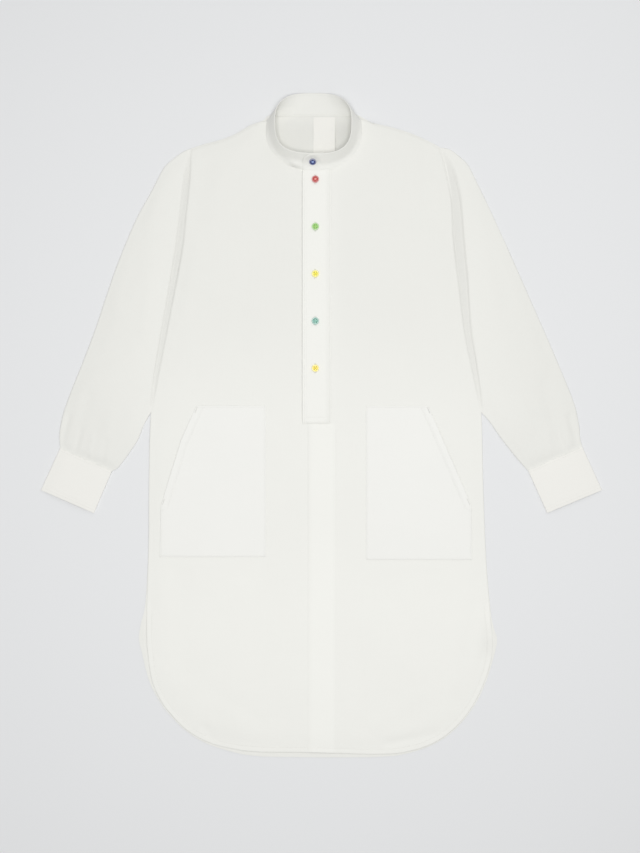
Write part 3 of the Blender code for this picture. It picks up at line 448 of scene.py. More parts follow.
SIDE_LEFT = side_edge(ARMHOLE_AND_SIDE_LEFT, FRONT_HEM_LEFT)
SIDE_RIGHT = side_edge(ARMHOLE_AND_SIDE_RIGHT, FRONT_HEM_RIGHT)
BACK_SIDE_LEFT = side_edge(ARMHOLE_AND_SIDE_LEFT, BACK_HEM_LEFT)
BACK_SIDE_RIGHT = side_edge(ARMHOLE_AND_SIDE_RIGHT, BACK_HEM_RIGHT)
NECK_LEFT_POINT = neck_edge(neck_share(NECK_POINT_LEFT_Y, True), 0, 2)[:1]
NECK_RIGHT_POINT = neck_edge(neck_share(NECK_POINT_RIGHT_Y, False), 0, 2)[:1]
SHOULDERS = [np.vstack([NECK_LEFT_POINT, smooth(SHOULDER_LEFT)]),
             np.vstack([NECK_RIGHT_POINT, smooth(SHOULDER_RIGHT)])]
ARMHOLES = [side[side[:, 1] > PARTING_Y] for side in (SIDE_LEFT, SIDE_RIGHT)]
SIDES = [side[(side[:, 1] <= PARTING_Y + 12) & (side[:, 1] > VENT_Y)] for side in (SIDE_LEFT, SIDE_RIGHT)]
FRONT_HEM = np.vstack([SIDE_LEFT[SIDE_LEFT[:, 1] <= VENT_Y], [(0.0, FRONT_HEM_Y)],
                       SIDE_RIGHT[SIDE_RIGHT[:, 1] <= VENT_Y][::-1]])
BACK_HEM = np.vstack([BACK_SIDE_LEFT[BACK_SIDE_LEFT[:, 1] <= VENT_Y], [(0.0, BACK_HEM_Y)],
                      BACK_SIDE_RIGHT[BACK_SIDE_RIGHT[:, 1] <= VENT_Y][::-1]])


def nearest(lines, x, y):
    return np.minimum.reduce([distance_to(line, x, y) for line in lines])


def channel(wearers_left, x, y):
    """How deep a point lies in the channel along an armhole, from nought to one."""
    side, line = (1, SIDE_LEFT) if wearers_left else (-1, SIDE_RIGHT)
    armhole = line[line[:, 1] > PARTING_Y - 30][::-1]
    seam = np.interp(y, armhole[:, 1], armhole[:, 0])
    table = np.array(CHANNEL_LEFT if wearers_left else CHANNEL_RIGHT)[::-1]
    centre, half, deep = (np.interp(y, table[:, 0], table[:, c]) for c in (1, 2, 3))
    across = abs((x - seam) * side - centre)
    return deep * (1 - eased((across - half) / CHANNEL_WALL)) * eased((y - 14.0) / 20.0)


def off_channel(off_armhole, sunk):
    """The rise of the body or a sleeve beside the channel."""
    return rise(off_armhole, 2.2) * (1 - sunk) * (0.62 + 0.38 * rise(off_armhole, 24.0))


def front_channel(x, y):
    return np.maximum(channel(True, x, y), channel(False, x, y))


def held_down(x, y):
    """How far the front has risen from its seams, from nought to one."""
    armhole = off_channel(nearest(ARMHOLES, x, y), front_channel(x, y))
    side = nearest(SIDES, x, y)
    shoulder = nearest(SHOULDERS, x, y)
    hem = distance_to(FRONT_HEM, x, y)
    return armhole * fold(side, 3.0, 15.0) * fold(shoulder, 2.5, 13.0) * fold(hem, 2.0, 20.0)


def pleat_height(x, y):
    """The box pleat below the placket: two folded edges that fade towards the hem."""
    left = eased((x - PLEAT_FROM_X) / 3.4)
    right = eased((PLEAT_TO_X - x) / 3.0)
    down = np.clip((PLACKET_END_Y - y) / (PLACKET_END_Y - FRONT_HEM_Y), 0, 1)
    start = eased((PLACKET_END_Y - 1.0 - y) / 7.0)
    sunk = 0.06 * np.exp(-((np.minimum(abs(x - PLEAT_FROM_X), abs(x - PLEAT_TO_X)) / 3.0) ** 2)) * start
    return (PLEAT_HEIGHT * left * right * start - sunk) * (1 - PLEAT_FADE * down)


def front_layers_and_painted_light(x, y):
    """Where the front's white is dimmed, above nought: painted shade in the armhole channels, over the chest
    and beside the wearer's left vent. Where it is whitened, below nought: the pleat lies double there, and
    light is painted towards the hem.
    """
    inside = eased((x - PLEAT_FROM_X) / 10.0) * eased((PLEAT_TO_X - x) / 8.0) * (y < PLACKET_END_Y)
    # Painted shade beside the wearer's left vent
    tip_shade = np.exp(-(np.hypot((x - 268.0) / 9.0, (y + 342.0) / 20.0) ** 2))
    beside = 1 - 0.5 * eased((48.0 - x) / 26.0) * (x > PLACKET_MIDDLE)  # less painted shade on the chest beside the placket's sewn edge
    # Painted shade over the chest, fading out below it
    chest_shade = CHEST_PAINTED_SHADE * eased((y + 20.0) / 220.0) * beside
    # Painted light towards the hem
    tail_light = TAIL_PAINTED_LIGHT * eased((-120.0 - y) / 180.0)
    return np.maximum(front_channel(x, y), chest_shade) + 0.5 * tip_shade - PLEAT_DOUBLE * inside - tail_light


def placket_groove(x, y):
    """The front dips under the placket's free edge."""
    down = eased((y - PLACKET_END_Y + 2.0) / 8.0)
    return -0.5 * np.exp(-(((x - PLACKET_FROM_X + 0.2) / 1.7) ** 2)) * down


def front_top(x, y):
    """The height of the front's upper side."""
    x, y = np.asarray(x, float), np.asarray(y, float)
    risen = held_down(x, y)
    off_neck = distance_to(neck_loop(NECK_MARGIN), x, y)
    neck = NECK_RISE * np.exp(-((off_neck / NECK_REACH) ** 2))
    armhole = nearest(ARMHOLES, x, y)
    pull = 0.5 * ripple(x, y, 3, 24) * np.exp(-((armhole - 15) / 12) ** 2)
    hem = distance_to(FRONT_HEM, x, y)
    wave = 0.4 * ripple(x, y, 8, 34) * np.exp(-(hem / 26) ** 2)
    broad = 0.4 * ripple(x, y, 5, 130) + 0.14 * ripple(x, y, 6, 46)
    body = FRONT_TOP - EDGE_LOW + 1.5 * creases(FRONT_CREASES, x, y) + broad + pull + wave
    return EDGE_LOW + neck + risen * body + pleat_height(x, y) + placket_groove(x, y)


def sleeve_top(wearers_left, edges):
    """A function for the height of a sleeve's upper side, held down at its folds and seams."""
    armhole, outer, under, cuff = edges
    table = SLEEVE_CREASES_LEFT if wearers_left else SLEEVE_CREASES_RIGHT
    run = (cuff[1] - cuff[0]) / np.linalg.norm(cuff[1] - cuff[0])

    def height(x, y):
        off_armhole = distance_to(armhole, x, y)
        off_cuff = distance_to(cuff, x, y)
        along = (x - cuff[0, 0]) * run[0] + (y - cuff[0, 1]) * run[1]
        risen = off_channel(off_armhole, channel(wearers_left, x, y))
        risen = risen * fold(distance_to(outer, x, y), 3.0, 14.0)
        risen = risen * fold(distance_to(under, x, y), 3.0, 12.0) * (0.35 + 0.65 * rise(off_cuff, 9.0))
        reach = 17 + 7 * np.sin(along / 11.0 + 1.0)
        tucks = np.sin(along / 2.3 + 1.7 * np.sin(along / 9.0)) * np.exp(-((off_cuff / reach) ** 2))
        pull = 0.45 * ripple(x, y, 31, 22) * np.exp(-((off_armhole - 14) / 12) ** 2)
        broad = 0.4 * ripple(x, y, 11 if wearers_left else 12, 110) + 0.14 * ripple(x, y, 14, 40)
        body = SLEEVE_TOP - EDGE_LOW + 1.4 * creases(table, x, y) + 0.45 * tucks + pull + broad
        return EDGE_LOW + risen * body

    return height


# Meshes

def in_scene(name, data):
    """A new object that holds this mesh, light or camera."""
    obj = bpy.data.objects.new(name, data)
    bpy.context.scene.collection.objects.link(obj)
    return obj


def at_heights(plan, *heights):
    """The points of a plan at each of these heights."""
    return [np.column_stack([plan, height]) for height in heights]


def without_strays(plan, faces):
    """The points that the faces use, and the faces numbered to suit."""
    used = sorted({i for face in faces for i in face})
    renumbered = {old: new for new, old in enumerate(used)}
    return plan[used], [tuple(renumbered[i] for i in face) for face in faces]


def cloth(name, top, bottom, faces, hem, finish, layers_and_painted_light=0.0):
    """A closed shell between its upper points and the lower ones under them, with two marks on it: the
    distance to a turned edge, and a share by which its white is dimmed where it lies single and where shade
    is painted on it; below nought, the share whitens it where it lies double and where light is painted on
    it."""
    count = len(top)
    edges = {(a, b) for face in faces for a, b in zip(face, face[1:] + face[:1])}
    rims = sorted((b, a, a + count, b + count) for a, b in edges if (b, a) not in edges)
    under = [tuple(i + count for i in reversed(face)) for face in faces]
    mesh = bpy.data.meshes.new(name)
    mesh.from_pydata((np.vstack([top, bottom]) * MM).tolist(), [], faces + under + rims)
    shell = bmesh.new()
    shell.from_mesh(mesh)
    bmesh.ops.recalc_face_normals(shell, faces=shell.faces)
    shell.to_mesh(mesh)
    shell.free()
    mesh.shade_smooth()
    mesh.set_sharp_from_angle(angle=math.radians(62))
    for label, values in (("hem", hem), ("layers_and_painted_light", np.broadcast_to(layers_and_painted_light, count))):
        mark = mesh.attributes.new(label, "FLOAT", "POINT")
        mark.data.foreach_set("value", np.concatenate([values, values]).astype(np.float32))
    mesh.materials.append(finish)
    return in_scene(name, mesh)


def grid_faces(index, ring=False):
    rows, columns = index.shape
    faces = []
    for r in range(rows - 1):
        for c in range(columns if ring else columns - 1):
            d = (c + 1) % columns
            faces.append((int(index[r, c]), int(index[r + 1, c]), int(index[r + 1, d]), int(index[r, d])))
    return faces


def ruled(inner, outer, spread, first, fade):
    """Rows of points from an inner to an outer edge, whose first row follows a curve that dies out."""
    rows = []
    for r, (a, b) in enumerate(zip(inner, outer)):
        width = np.linalg.norm(b - a)
        shares = spread(width) / width
        row = a + (b - a) * shares[:, None]
        if r < fade:
            bow = resampled(first, shares) - (inner[0] + (outer[0] - inner[0]) * shares[:, None])
            row = row + bow * (1 - r / fade) ** 2
        rows.append(row)
    return np.array(rows)


def front_half(wearers_left):
    """The plan of half of the front, as rows from the centre and the neck out to the side and the hem."""
    side = 1 if wearers_left else -1
    near, far = (NECK_POINT_LEFT_Y, 0.0) if wearers_left else (NECK_POINT_RIGHT_Y, 1.0)
    grow = NECK_MARGIN - FRONT_UNDER_COLLAR
    loop = neck_loop(grow)
    centre = far + (side * SLIT / 2 - NECK_X) / length_of(loop)
    neck = neck_edge(neck_share(near, wearers_left), centre, 33, grow)
    neck[-1] = (side * SLIT / 2, loop[:, 1].min())
    above = np.linspace(neck[-1][1], PLACKET_END_Y, 62)[1:]
    start_of_pleat = [PLACKET_END_Y - step for step in (1.0, 3.0, 5.5, 8.0)]
    below = np.linspace(PLACKET_END_Y - 13.0, FRONT_HEM_Y + 22.0, 78)
    by_hem = [FRONT_HEM_Y + step for step in (16.0, 12.5, 9.8, 7.5, 5.0, 3.0, 1.5, 0.6, 0.0)]
    down = np.concatenate([above, start_of_pleat, below, by_hem])
    inner = np.vstack([neck, [(side * SLIT / 2 if y > SLIT_END_Y else 0.0, y) for y in down]])
    armhole = ARMHOLE_AND_SIDE_LEFT if wearers_left else ARMHOLE_AND_SIDE_RIGHT
    outline = side_edge(armhole, FRONT_HEM_LEFT if wearers_left else FRONT_HEM_RIGHT)
    progress = (neck[-1][1] - down) / (neck[-1][1] - FRONT_HEM_Y)
    shares = np.concatenate([np.linspace(0, NECK_ROWS_SHARE, len(neck)),
                             NECK_ROWS_SHARE + (1 - NECK_ROWS_SHARE) * progress])
    outer = resampled(outline, shares)
    shoulder = np.vstack([neck[:1], smooth(SHOULDER_LEFT if wearers_left else SHOULDER_RIGHT)])
    pleat = PLEAT_TO_X if wearers_left else -PLEAT_FROM_X
    groove = abs(PLACKET_FROM_X if not wearers_left else PLACKET_TO_X)

    def spread(width):
        folds = [0.0, pleat / 3, 2 * pleat / 3]
        folds += [pleat + step for step in (-3.2, -1.6, -1.1, -0.5, 0.0, 1.2, 2.6, 5.0, 9.0)]
        folds += [groove + step for step in (-2.6, -1.7, -0.9, -0.1, 0.7, 1.5, 2.4, 3.6)]
        folds = np.array(sorted(folds))
        edge = width - np.array([24.0, 20.0, 17.0, 14.5, 12.6, 11.0, 9.6, 8.2, 6.9, 5.6, 4.4, 3.2, 2.1, 1.2,
                                 0.6, 0.2, 0.0])
        middle = np.linspace(folds[-1], edge[0], 33)[1:-1]
        return np.concatenate([folds, middle, edge])

    return ruled(inner, outer, spread, shoulder, round(SHOULDER_FADE * len(inner)))


def make_front(finish):
    left, right = front_half(True), front_half(False)
    rows, columns = left.shape[:2]
    plan = np.vstack([left.reshape(-1, 2), right.reshape(-1, 2)])
    index = np.arange(rows * columns).reshape(rows, columns)
    other = index + rows * columns
    joined = [r for r in range(rows) if left[r, 0, 0] == 0.0]
    other[joined, 0] = index[joined, 0]
    faces = grid_faces(index) + [tuple(reversed(face)) for face in grid_faces(other)]
    plan, faces = without_strays(plan, faces)
    x, y = plan.T
    top = front_top(x, y)
    return cloth("front_panel", *at_heights(plan, top, top - SHIRTING), faces, distance_to(FRONT_HEM, x, y),
                 finish, front_layers_and_painted_light(x, y))


def make_back(finish):
    """The back lies on the surface, sewn in under the collar and with its hem just beyond the front's."""
    ends = neck_share(NECK_POINT_RIGHT_Y, False), neck_share(NECK_POINT_LEFT_Y, True)
    border = np.vstack([
        neck_edge(*ends, 61, BACK_UNDER_COLLAR),
        smooth(SHOULDER_LEFT),
        BACK_SIDE_LEFT[1:],
        [(0.0, BACK_HEM_Y)],
        BACK_SIDE_RIGHT[:0:-1],
        smooth(SHOULDER_RIGHT)[::-1],
    ])
    border = resampled(np.vstack([border, border[:1]]), np.linspace(0, 1, 701))[:-1]
    across, along = np.meshgrid(np.arange(-276.0, 290.0, 8.0), np.arange(-520.0, 486.0, 8.0))
    shifted = across + 4.0 * (np.round(along / 8.0) % 2)
    inside = np.column_stack([shifted.ravel(), along.ravel()])
    closed = np.vstack([border, border[:1]])
    inside = inside[distance_to(closed, inside[:, 0], inside[:, 1]) > 3.5]
    points = [Vector(point) for point in np.vstack([border, inside])]
    verts, _, faces = delaunay_2d_cdt(points, [], [list(range(len(border)))], 1, 1e-5)[:3]
    plan, faces = without_strays(np.array([tuple(v) for v in verts]), faces)
    x, y = plan.T
    hem = distance_to(BACK_HEM, x, y)
    lifted = np.maximum(creases(BACK_CREASES, x, y), 0) * rise(hem, 30)
    curl = 0.35 * np.maximum(ripple(x, y, 17, 60), 0) * np.exp(-(hem / 14) ** 2)
    low = (lifted + curl) * rise(np.maximum(420.0 - y, 0.0), 30.0)
    # Painted shade inside the neck opening, where the collar's walls shade the back: fading towards the
    # collar's seam and darker towards +x, added to the back's single layer
    neck_shade = eased((y - 380.0) / 10.0) * (abs(x - NECK_X) < NECK_HALF_WIDTH + NECK_MARGIN)
    neck_shade = neck_shade * (0.45 + 0.55 * eased((NECK_Y + NECK_BACK - y) / 22.0))
    layers_and_painted_light = BACK_SINGLE + neck_shade * (NECK_SINGLE_AND_SHADE - BACK_SINGLE + 0.4 * eased((x - 15.0) / 40.0))
    return cloth("back_panel", *at_heights(plan, low + SHIRTING, low), faces, hem, finish, layers_and_painted_light)


def tube(name, inner_edge, outer_edge, first, fade, top_at, thick, hem_line, finish, layers_and_painted_light_at=None):
    """A tube of cloth pressed flat between two folded edges and open at both ends."""
    edge = np.array([0.35, 1.0, 2.1, 3.2, 4.4, 5.7, 7.0, 8.4, 9.8, 11.4, 13.2, 15.5, 18.5])
    fold_z = thick + LAYER_GAP / 2

    def places(width):
        over = np.concatenate([edge, np.linspace(edge[-1], width - edge[-1], 28)[1:-1], width - edge[::-1]])
        under = np.concatenate([[width - 0.8], np.linspace(width - 6, 6, 9), [0.8]])
        return np.concatenate([[0.0], over, [width], under]), len(over)

    def inner_places(width):
        place, over = places(width)
        place = np.clip(place, thick + 0.6, width - thick - 0.6)
        place[0], place[over + 1] = thick + 0.1, width - thick - 0.1
        return place

    outer_plan = ruled(inner_edge, outer_edge, lambda width: places(width)[0], first, fade)
    inner_plan = ruled(inner_edge, outer_edge, inner_places, first, fade)
    rows, count = outer_plan.shape[:2]
    over = places(100.0)[1]
    on_top = np.zeros(count, bool)
    on_top[1: over + 1] = True
    on_fold = np.zeros(count, bool)
    on_fold[[0, over + 1]] = True
    flat = outer_plan.reshape(-1, 2)
    lowest = 2 * thick + LAYER_GAP
    top = np.maximum(top_at(flat[:, 0], flat[:, 1]), lowest).reshape(rows, count)
    outer_z = np.where(on_top, top, np.where(on_fold, fold_z, 0.0))
    inner_z = np.where(on_top, top - thick, np.where(on_fold, fold_z, thick))
    index = np.arange(rows * count).reshape(rows, count)
    outer = np.column_stack([flat, outer_z.reshape(-1)])
    inner = np.column_stack([inner_plan.reshape(-1, 2), inner_z.reshape(-1)])
    hem = distance_to(hem_line, flat[:, 0], flat[:, 1])
    layers_and_painted_light = layers_and_painted_light_at(flat[:, 0], flat[:, 1]) if layers_and_painted_light_at else 0.0
    return cloth(name, outer, inner, grid_faces(index, ring=True), hem, finish, layers_and_painted_light)


def sleeve_edges(wearers_left):
    side = 1 if wearers_left else -1
    body = beyond(BACK_SIDE_LEFT if wearers_left else BACK_SIDE_RIGHT, -SLEEVE_UNDER_FRONT, side)
    sewn = body[body[:, 1] >= UNDERARM_Y]
    tucked = body[(body[:, 1] < UNDERARM_Y) & (body[:, 1] > PARTING_Y)]
    free = SLEEVE_UNDER_LEFT if wearers_left else SLEEVE_UNDER_RIGHT
    under = np.vstack([sewn[-1:], tucked, smooth([tuple(tucked[-1])] + free)[1:]])
    outer = smooth(SLEEVE_OUTER_LEFT if wearers_left else SLEEVE_OUTER_RIGHT)
    outer = np.vstack([sewn[:1], outer[1:]])
    return sewn, tucked, under, outer


def make_sleeve(name, wearers_left, finish):
    sewn, tucked, under, outer = sleeve_edges(wearers_left)
    shares = np.linspace(0, 1, SLEEVE_SECTIONS)
    inner_edge = resampled(under, shares)
    outer_edge = resampled(outer, shares**SLEEVE_LEAN)
    free = under[len(tucked) + 1:]
    cuff = np.array([inner_edge[-1], outer_edge[-1]])
    armhole = np.vstack([sewn, tucked])
    outside = outer[outer[:, 1] > cuff[1, 1] + 2.0]
    top_at = sleeve_top(wearers_left, (armhole, outside, free, cuff))
    far = np.array([(0.0, -4000.0), (10.0, -4000.0)])
    corners = np.array(CUFF_LEFT if wearers_left else CUFF_RIGHT)
    into = corners[1] - corners[0]
    outward, inward = into[:2] / np.linalg.norm(into[:2]), into[2:] / np.linalg.norm(into[2:])
    outer_edge = np.vstack([outer_edge, outer_edge[-1] + outward * SLEEVE_INTO_CUFF])
    inner_edge = np.vstack([inner_edge, inner_edge[-1] + inward * SLEEVE_INTO_CUFF])

    # Painted shade on the sleeve: deepest in the armhole channel, and more of it away from the armhole
    def layers_and_painted_light_at(x, y):
        outwards = eased(distance_to(armhole, x, y) / SLEEVE_OUTER_REACH)
        return np.maximum(channel(wearers_left, x, y), SLEEVE_PAINTED_SHADE + SLEEVE_OUTER_PAINTED_SHADE * outwards)

    return tube(name, inner_edge, outer_edge, sewn[::-1], round(SLEEVE_FADE * SLEEVE_SECTIONS), top_at,
                SHIRTING, far, finish, layers_and_painted_light_at)


def make_cuff(name, corners, finish):
    rows = np.array(corners)
    shares = np.concatenate([[0, 0.005, 0.015, 0.035], np.linspace(0.06, 0.94, 26),
                             [0.965, 0.985, 0.995, 1.0]])
    outer_edge = resampled(rows[:, :2], shares)
    inner_edge = resampled(rows[:, 2:], shares)
    seam = np.array([inner_edge[0], outer_edge[0]])
    wrist = np.array([inner_edge[-1], outer_edge[-1]])
    folds = [np.array(inner_edge), np.array(outer_edge)]

    def top_at(x, y):
        off_seam, off_wrist = distance_to(seam, x, y), distance_to(wrist, x, y)
        risen = fold(nearest(folds, x, y), 2.4, 12.0) * (0.7 + 0.3 * fold(off_seam, 3.0, 9.0))
        risen = risen * (0.6 + 0.4 * fold(off_wrist, 1.6, 7.0))
        body = CUFF_TOP - CUFF_LOW + 0.22 * ripple(x, y, 41, 44)
        return CUFF_LOW + risen * body

    return tube(name, inner_edge, outer_edge, seam, 1, top_at, CUFF_CLOTH, wrist, finish)


def collar_columns():
    """Each column's share of the way round the neck, its share of the way to the back, and its distance
    from the nearer end."""
    shares = np.linspace(COLLAR_END, COLLAR_UNDER_END, COLLAR_COLUMNS)
    to_back = 2 * np.minimum(shares % 1.0, 1 - shares % 1.0)
    from_end = np.minimum(shares - COLLAR_END, COLLAR_UNDER_END - shares) * length_of(neck_loop())
    return shares, to_back, from_end


def collar_surface():
    """The middle of the collar's wall and its outward direction, by row from seam to rim."""
    shares, to_back, from_end = collar_columns()
    ups = np.concatenate([[0, 0.012, 0.03, 0.06], np.linspace(0.1, 0.9, COLLAR_ROWS - 8),
                          [0.94, 0.97, 0.988, 1.0]])
    seam = resampled(neck_loop(), shares % 1.0)
    rim = resampled(rim_loop(), shares % 1.0)
    panel = FRONT_TOP + NECK_RISE - 0.6
    lying = BACK_TOP + BAND_CLOTH / 2 + COLLAR_OFF_BACK
    seam_z = OVER_BACK + (panel - OVER_BACK) * (1 - blended(to_back, SHOULDER_BLEND))
    seam_z = lying + (seam_z - lying) * (1 - blended(to_back, BACK_BLEND))
    over_placket = np.exp(-(((seam[:, 0] - PLACKET_MIDDLE) / 26.0) ** 4)) * (to_back < 0.3)
    seam_z = seam_z + COLLAR_OVER_PLACKET * over_placket
    table = smooth(COLLAR_HEIGHTS)
    rim_z = np.interp(to_back, table[:, 0], table[:, 1])
    short = np.clip(1 - from_end / COLLAR_CORNER_ALONG, 0, 1)
    cut = COLLAR_CORNER_DOWN * (1 - np.sqrt(1 - short**2)) * (shares < 0.5)
    height = np.linalg.norm(np.column_stack([rim, rim_z]) - np.column_stack([seam, seam_z]), axis=1)
    bow = np.cos(to_back * math.pi / 2) ** 2
    section = smooth(COLLAR_SECTION)
    steps = np.concatenate([[0.0], np.cumsum(np.linalg.norm(np.diff(section, axis=0), axis=1))])
    grid = []
    for row in ups:
        up = row * (1 - cut / height)
        across, rising = (up + (np.interp(up * steps[-1], steps, part) - up) * bow for part in section.T)
        plan = seam + (rim - seam) * across[:, None]
        grid.append(np.column_stack([plan, seam_z + (rim_z - seam_z) * rising]))
    middle = np.array(grid)
    out = np.cross(np.gradient(middle, axis=1), np.gradient(middle, axis=0))
    out /= np.linalg.norm(out, axis=2)[:, :, None]
    middle = middle - out * ((BAND_CLOTH + TUCK_GAP) * blended(shares, TUCK_BLEND))[None, :, None]
    from_free_end = (shares - COLLAR_END) * length_of(neck_loop())
    flare = 1.1 * np.clip(1 - from_free_end / 16.0, 0, 1) ** 2
    middle = middle + out * (flare[None, :] * eased(ups * 2.5)[:, None])[:, :, None]
    roll = BAND_ROLL * np.exp(-(((shares - BAND_ROLL_AT) / BAND_ROLL_REACH) ** 2))
    rolled = np.exp(-(((ups - 0.24) / 0.16) ** 2)) * eased(ups / 0.12)
    middle = middle + out * (roll[None, :] * rolled[:, None])[:, :, None]
    wave = 0.25 * np.sin(shares * 61.0) * np.sin(shares * 23.0 + 1.0)
    middle = middle + out * (wave[None, :] * (ups[:, None] - 0.2) * (1 - to_back) ** 2)[:, :, None]
    # The button holds both ends flat against it
    place, facing = button_place(BUTTONS[0][0])
    along = (middle - place) @ facing
    off_axis = np.linalg.norm(middle - place - along[:, :, None] * facing, axis=2)
    under = BAND_CLOTH / 2 + 0.12 + (BAND_CLOTH + TUCK_GAP) * (shares > 0.5)[None, :]
    held = (1 - eased((off_axis - COLLAR_HELD) / COLLAR_HELD_FADE)) * (to_back < 0.2)[None, :]
    middle = middle - facing * (held * (along + under))[:, :, None]
    return middle, out, shares, ups, height


def make_collar(finish):
    middle, out, _, ups, height = collar_surface()
    _, to_back, from_end = collar_columns()
    off = (1 - ups[:, None]) * height[None, :]
    near = np.clip(np.minimum(off, from_end[None, :]) / 0.8, 0, 1)
    half = BAND_CLOTH / 2 * (0.25 + 0.75 * np.sqrt(1 - (1 - near) ** 2))
    outer = (middle + out * half[:, :, None]).reshape(-1, 3)
    inner = (middle - out * half[:, :, None]).reshape(-1, 3)
    outer[:, 2], inner[:, 2] = np.maximum(outer[:, 2], 0.05), np.maximum(inner[:, 2], 0.05)
    index = np.arange(len(outer)).reshape(middle.shape[:2])
    hem = np.full(len(outer), NO_HEM)
    # Painted shade on the band, darker towards the back
    layers_and_painted_light = np.tile(BAND_BACK_PAINTED_SHADE * eased((to_back - 0.55) / 0.3), len(ups))
    return cloth("stand_collar", outer, inner, grid_faces(index), hem, finish, layers_and_painted_light)


def laid_panel(name, plan, lift, thick, hem, finish, layers_and_painted_light=0.0):
    """A panel from a grid of plan points, lying on the front with its edges rolled down."""
    rows, columns = plan.shape[:2]
    points = plan.reshape(-1, 2)
    low = front_top(points[:, 0], points[:, 1]) + lift.reshape(-1)
    border = np.vstack([plan[0], plan[1:, -1], plan[-1, -2::-1], plan[-2::-1, 0]])
    off = distance_to(border, points[:, 0], points[:, 1])
    near = np.clip(off / 0.9, 0, 1)
    top = low + np.ravel(thick) * (0.45 + 0.55 * np.sqrt(1 - (1 - near) ** 2))
    index = np.arange(rows * columns).reshape(rows, columns)
    return cloth(name, *at_heights(points, top, low), grid_faces(index), hem, finish, layers_and_painted_light)


def edge_shares(width, count):
    """Places across a panel, closer together along both edges."""
    edge = np.array([0.0, 0.35, 0.8, 1.4, 2.4, 4.0, 6.5])
    return np.concatenate([edge, np.linspace(6.5, width - 6.5, count)[1:-1], width - edge[::-1]]) / width


def placket_plan():
    across = PLACKET_FROM_X + (PLACKET_TO_X - PLACKET_FROM_X) * edge_shares(PLACKET_TO_X - PLACKET_FROM_X, 12)
    loop = neck_loop(NECK_MARGIN - FRONT_UNDER_COLLAR)
    front = loop[loop[:, 1] < NECK_Y]
    front = front[np.argsort(front[:, 0])]
    top = np.interp(across, front[:, 0], front[:, 1])
    shares = edge_shares(PLACKET_LENGTH, 70)
    return np.array([[(x, t + (PLACKET_END_Y - t) * s) for x, t in zip(across, top)] for s in shares])


def make_placket(finish):
    plan = placket_plan()
    x, y = plan[:, :, 0], plan[:, :, 1]
    free = np.exp(-(((x - PLACKET_FROM_X) / 7.0) ** 2)) * rise(y - PLACKET_END_Y, 40.0)
    bare = placket_groove(x, y)
    lift = PLACKET_LIFT + 0.5 * free * (0.75 + 0.35 * ripple(x * 0, y, 51, 90)) - bare
    sewn = 1 - 0.72 * np.exp(-(((PLACKET_TO_X - x) / 3.2) ** 2))
    lift = lift * np.where(x > 0, sewn, 1.0)
    hem = np.minimum(x - PLACKET_FROM_X, PLACKET_TO_X - x).reshape(-1) + 3.0
    # Painted shade towards the placket's sewn edge, to meet the painted shade on the chest beside it
    layers_and_painted_light = 0.28 * eased((x - 11.0) / 11.0).reshape(-1)
    return laid_panel("placket_strip", plan, lift, BAND_CLOTH * sewn, hem, finish, layers_and_painted_light)


def pocket_plan(corners):
    table = np.array(corners)
    depth = table[0, 0] - table[-1, 0]
    downs = table[0, 0] - depth * edge_shares(depth, 44)
    downs = np.array(sorted(set(downs) | set(table[:, 0]), reverse=True))
    plan = []
    for y in downs:
        near = np.interp(-y, -table[:, 0], table[:, 1])
        far = np.interp(-y, -table[:, 0], table[:, 2])
        plan.append([(near + (far - near) * s, y) for s in edge_shares(abs(far - near), 30)])
    return np.array(plan)


def pocket_lines(corners):
    """The opening's slanted edge and the three sewn edges of a pocket."""
    table = np.array(corners)
    slant = table[table[:, 0] >= POCKET_OPENING_END_Y]
    opening = np.column_stack([slant[:, 2], slant[:, 0]])
    bottom = table[-1]
    sewn = np.array([(table[0, 2], table[0, 0]), (table[0, 1], table[0, 0]), (bottom[1], bottom[0]),
                     (bottom[2], bottom[0]), tuple(opening[-1])])
    return opening, sewn


def make_pocket(name, corners, finish):
    plan = pocket_plan(corners)
    opening, _ = pocket_lines(corners)
    points = plan.reshape(-1, 2)
    off = distance_to(opening, points[:, 0], points[:, 1])
    ends = np.minimum(*[np.linalg.norm(points - end, axis=1) for end in (opening[0], opening[-1])])
    gape = 0.9 * np.exp(-((off / 12.0) ** 2)) * rise(ends, 36.0)
    lift = (POCKET_LIFT + gape + 0.1 * ripple(points[:, 0], points[:, 1], 61, 50)).reshape(plan.shape[:2])
    thick = np.full(plan.shape[:2], POCKET_CLOTH)
    return laid_panel(name, plan, lift, thick, off, finish)


def make_label(finish):
    share = edge_shares(40.0, 14)
    xs = LABEL_FROM_X + (LABEL_TO_X - LABEL_FROM_X) * share
    ys = LABEL_FROM_Y + (LABEL_TO_Y - LABEL_FROM_Y) * share
    points = np.array([(x, y) for y in ys for x in xs])
    free_corner = 3.3 * np.outer(eased(share * 1.6), share**2.5)
    lift = free_corner + 0.25 * np.outer(np.sin(share * 5.0), np.ones(len(share)))
    low = SHIRTING + 0.35 + lift.reshape(-1)
    hem = np.full(len(points), NO_HEM)
    index = np.arange(len(points)).reshape(len(share), len(share))
    return cloth("bare_label", *at_heights(points, low + TAPE, low), grid_faces(index), hem, finish)


# Sewing

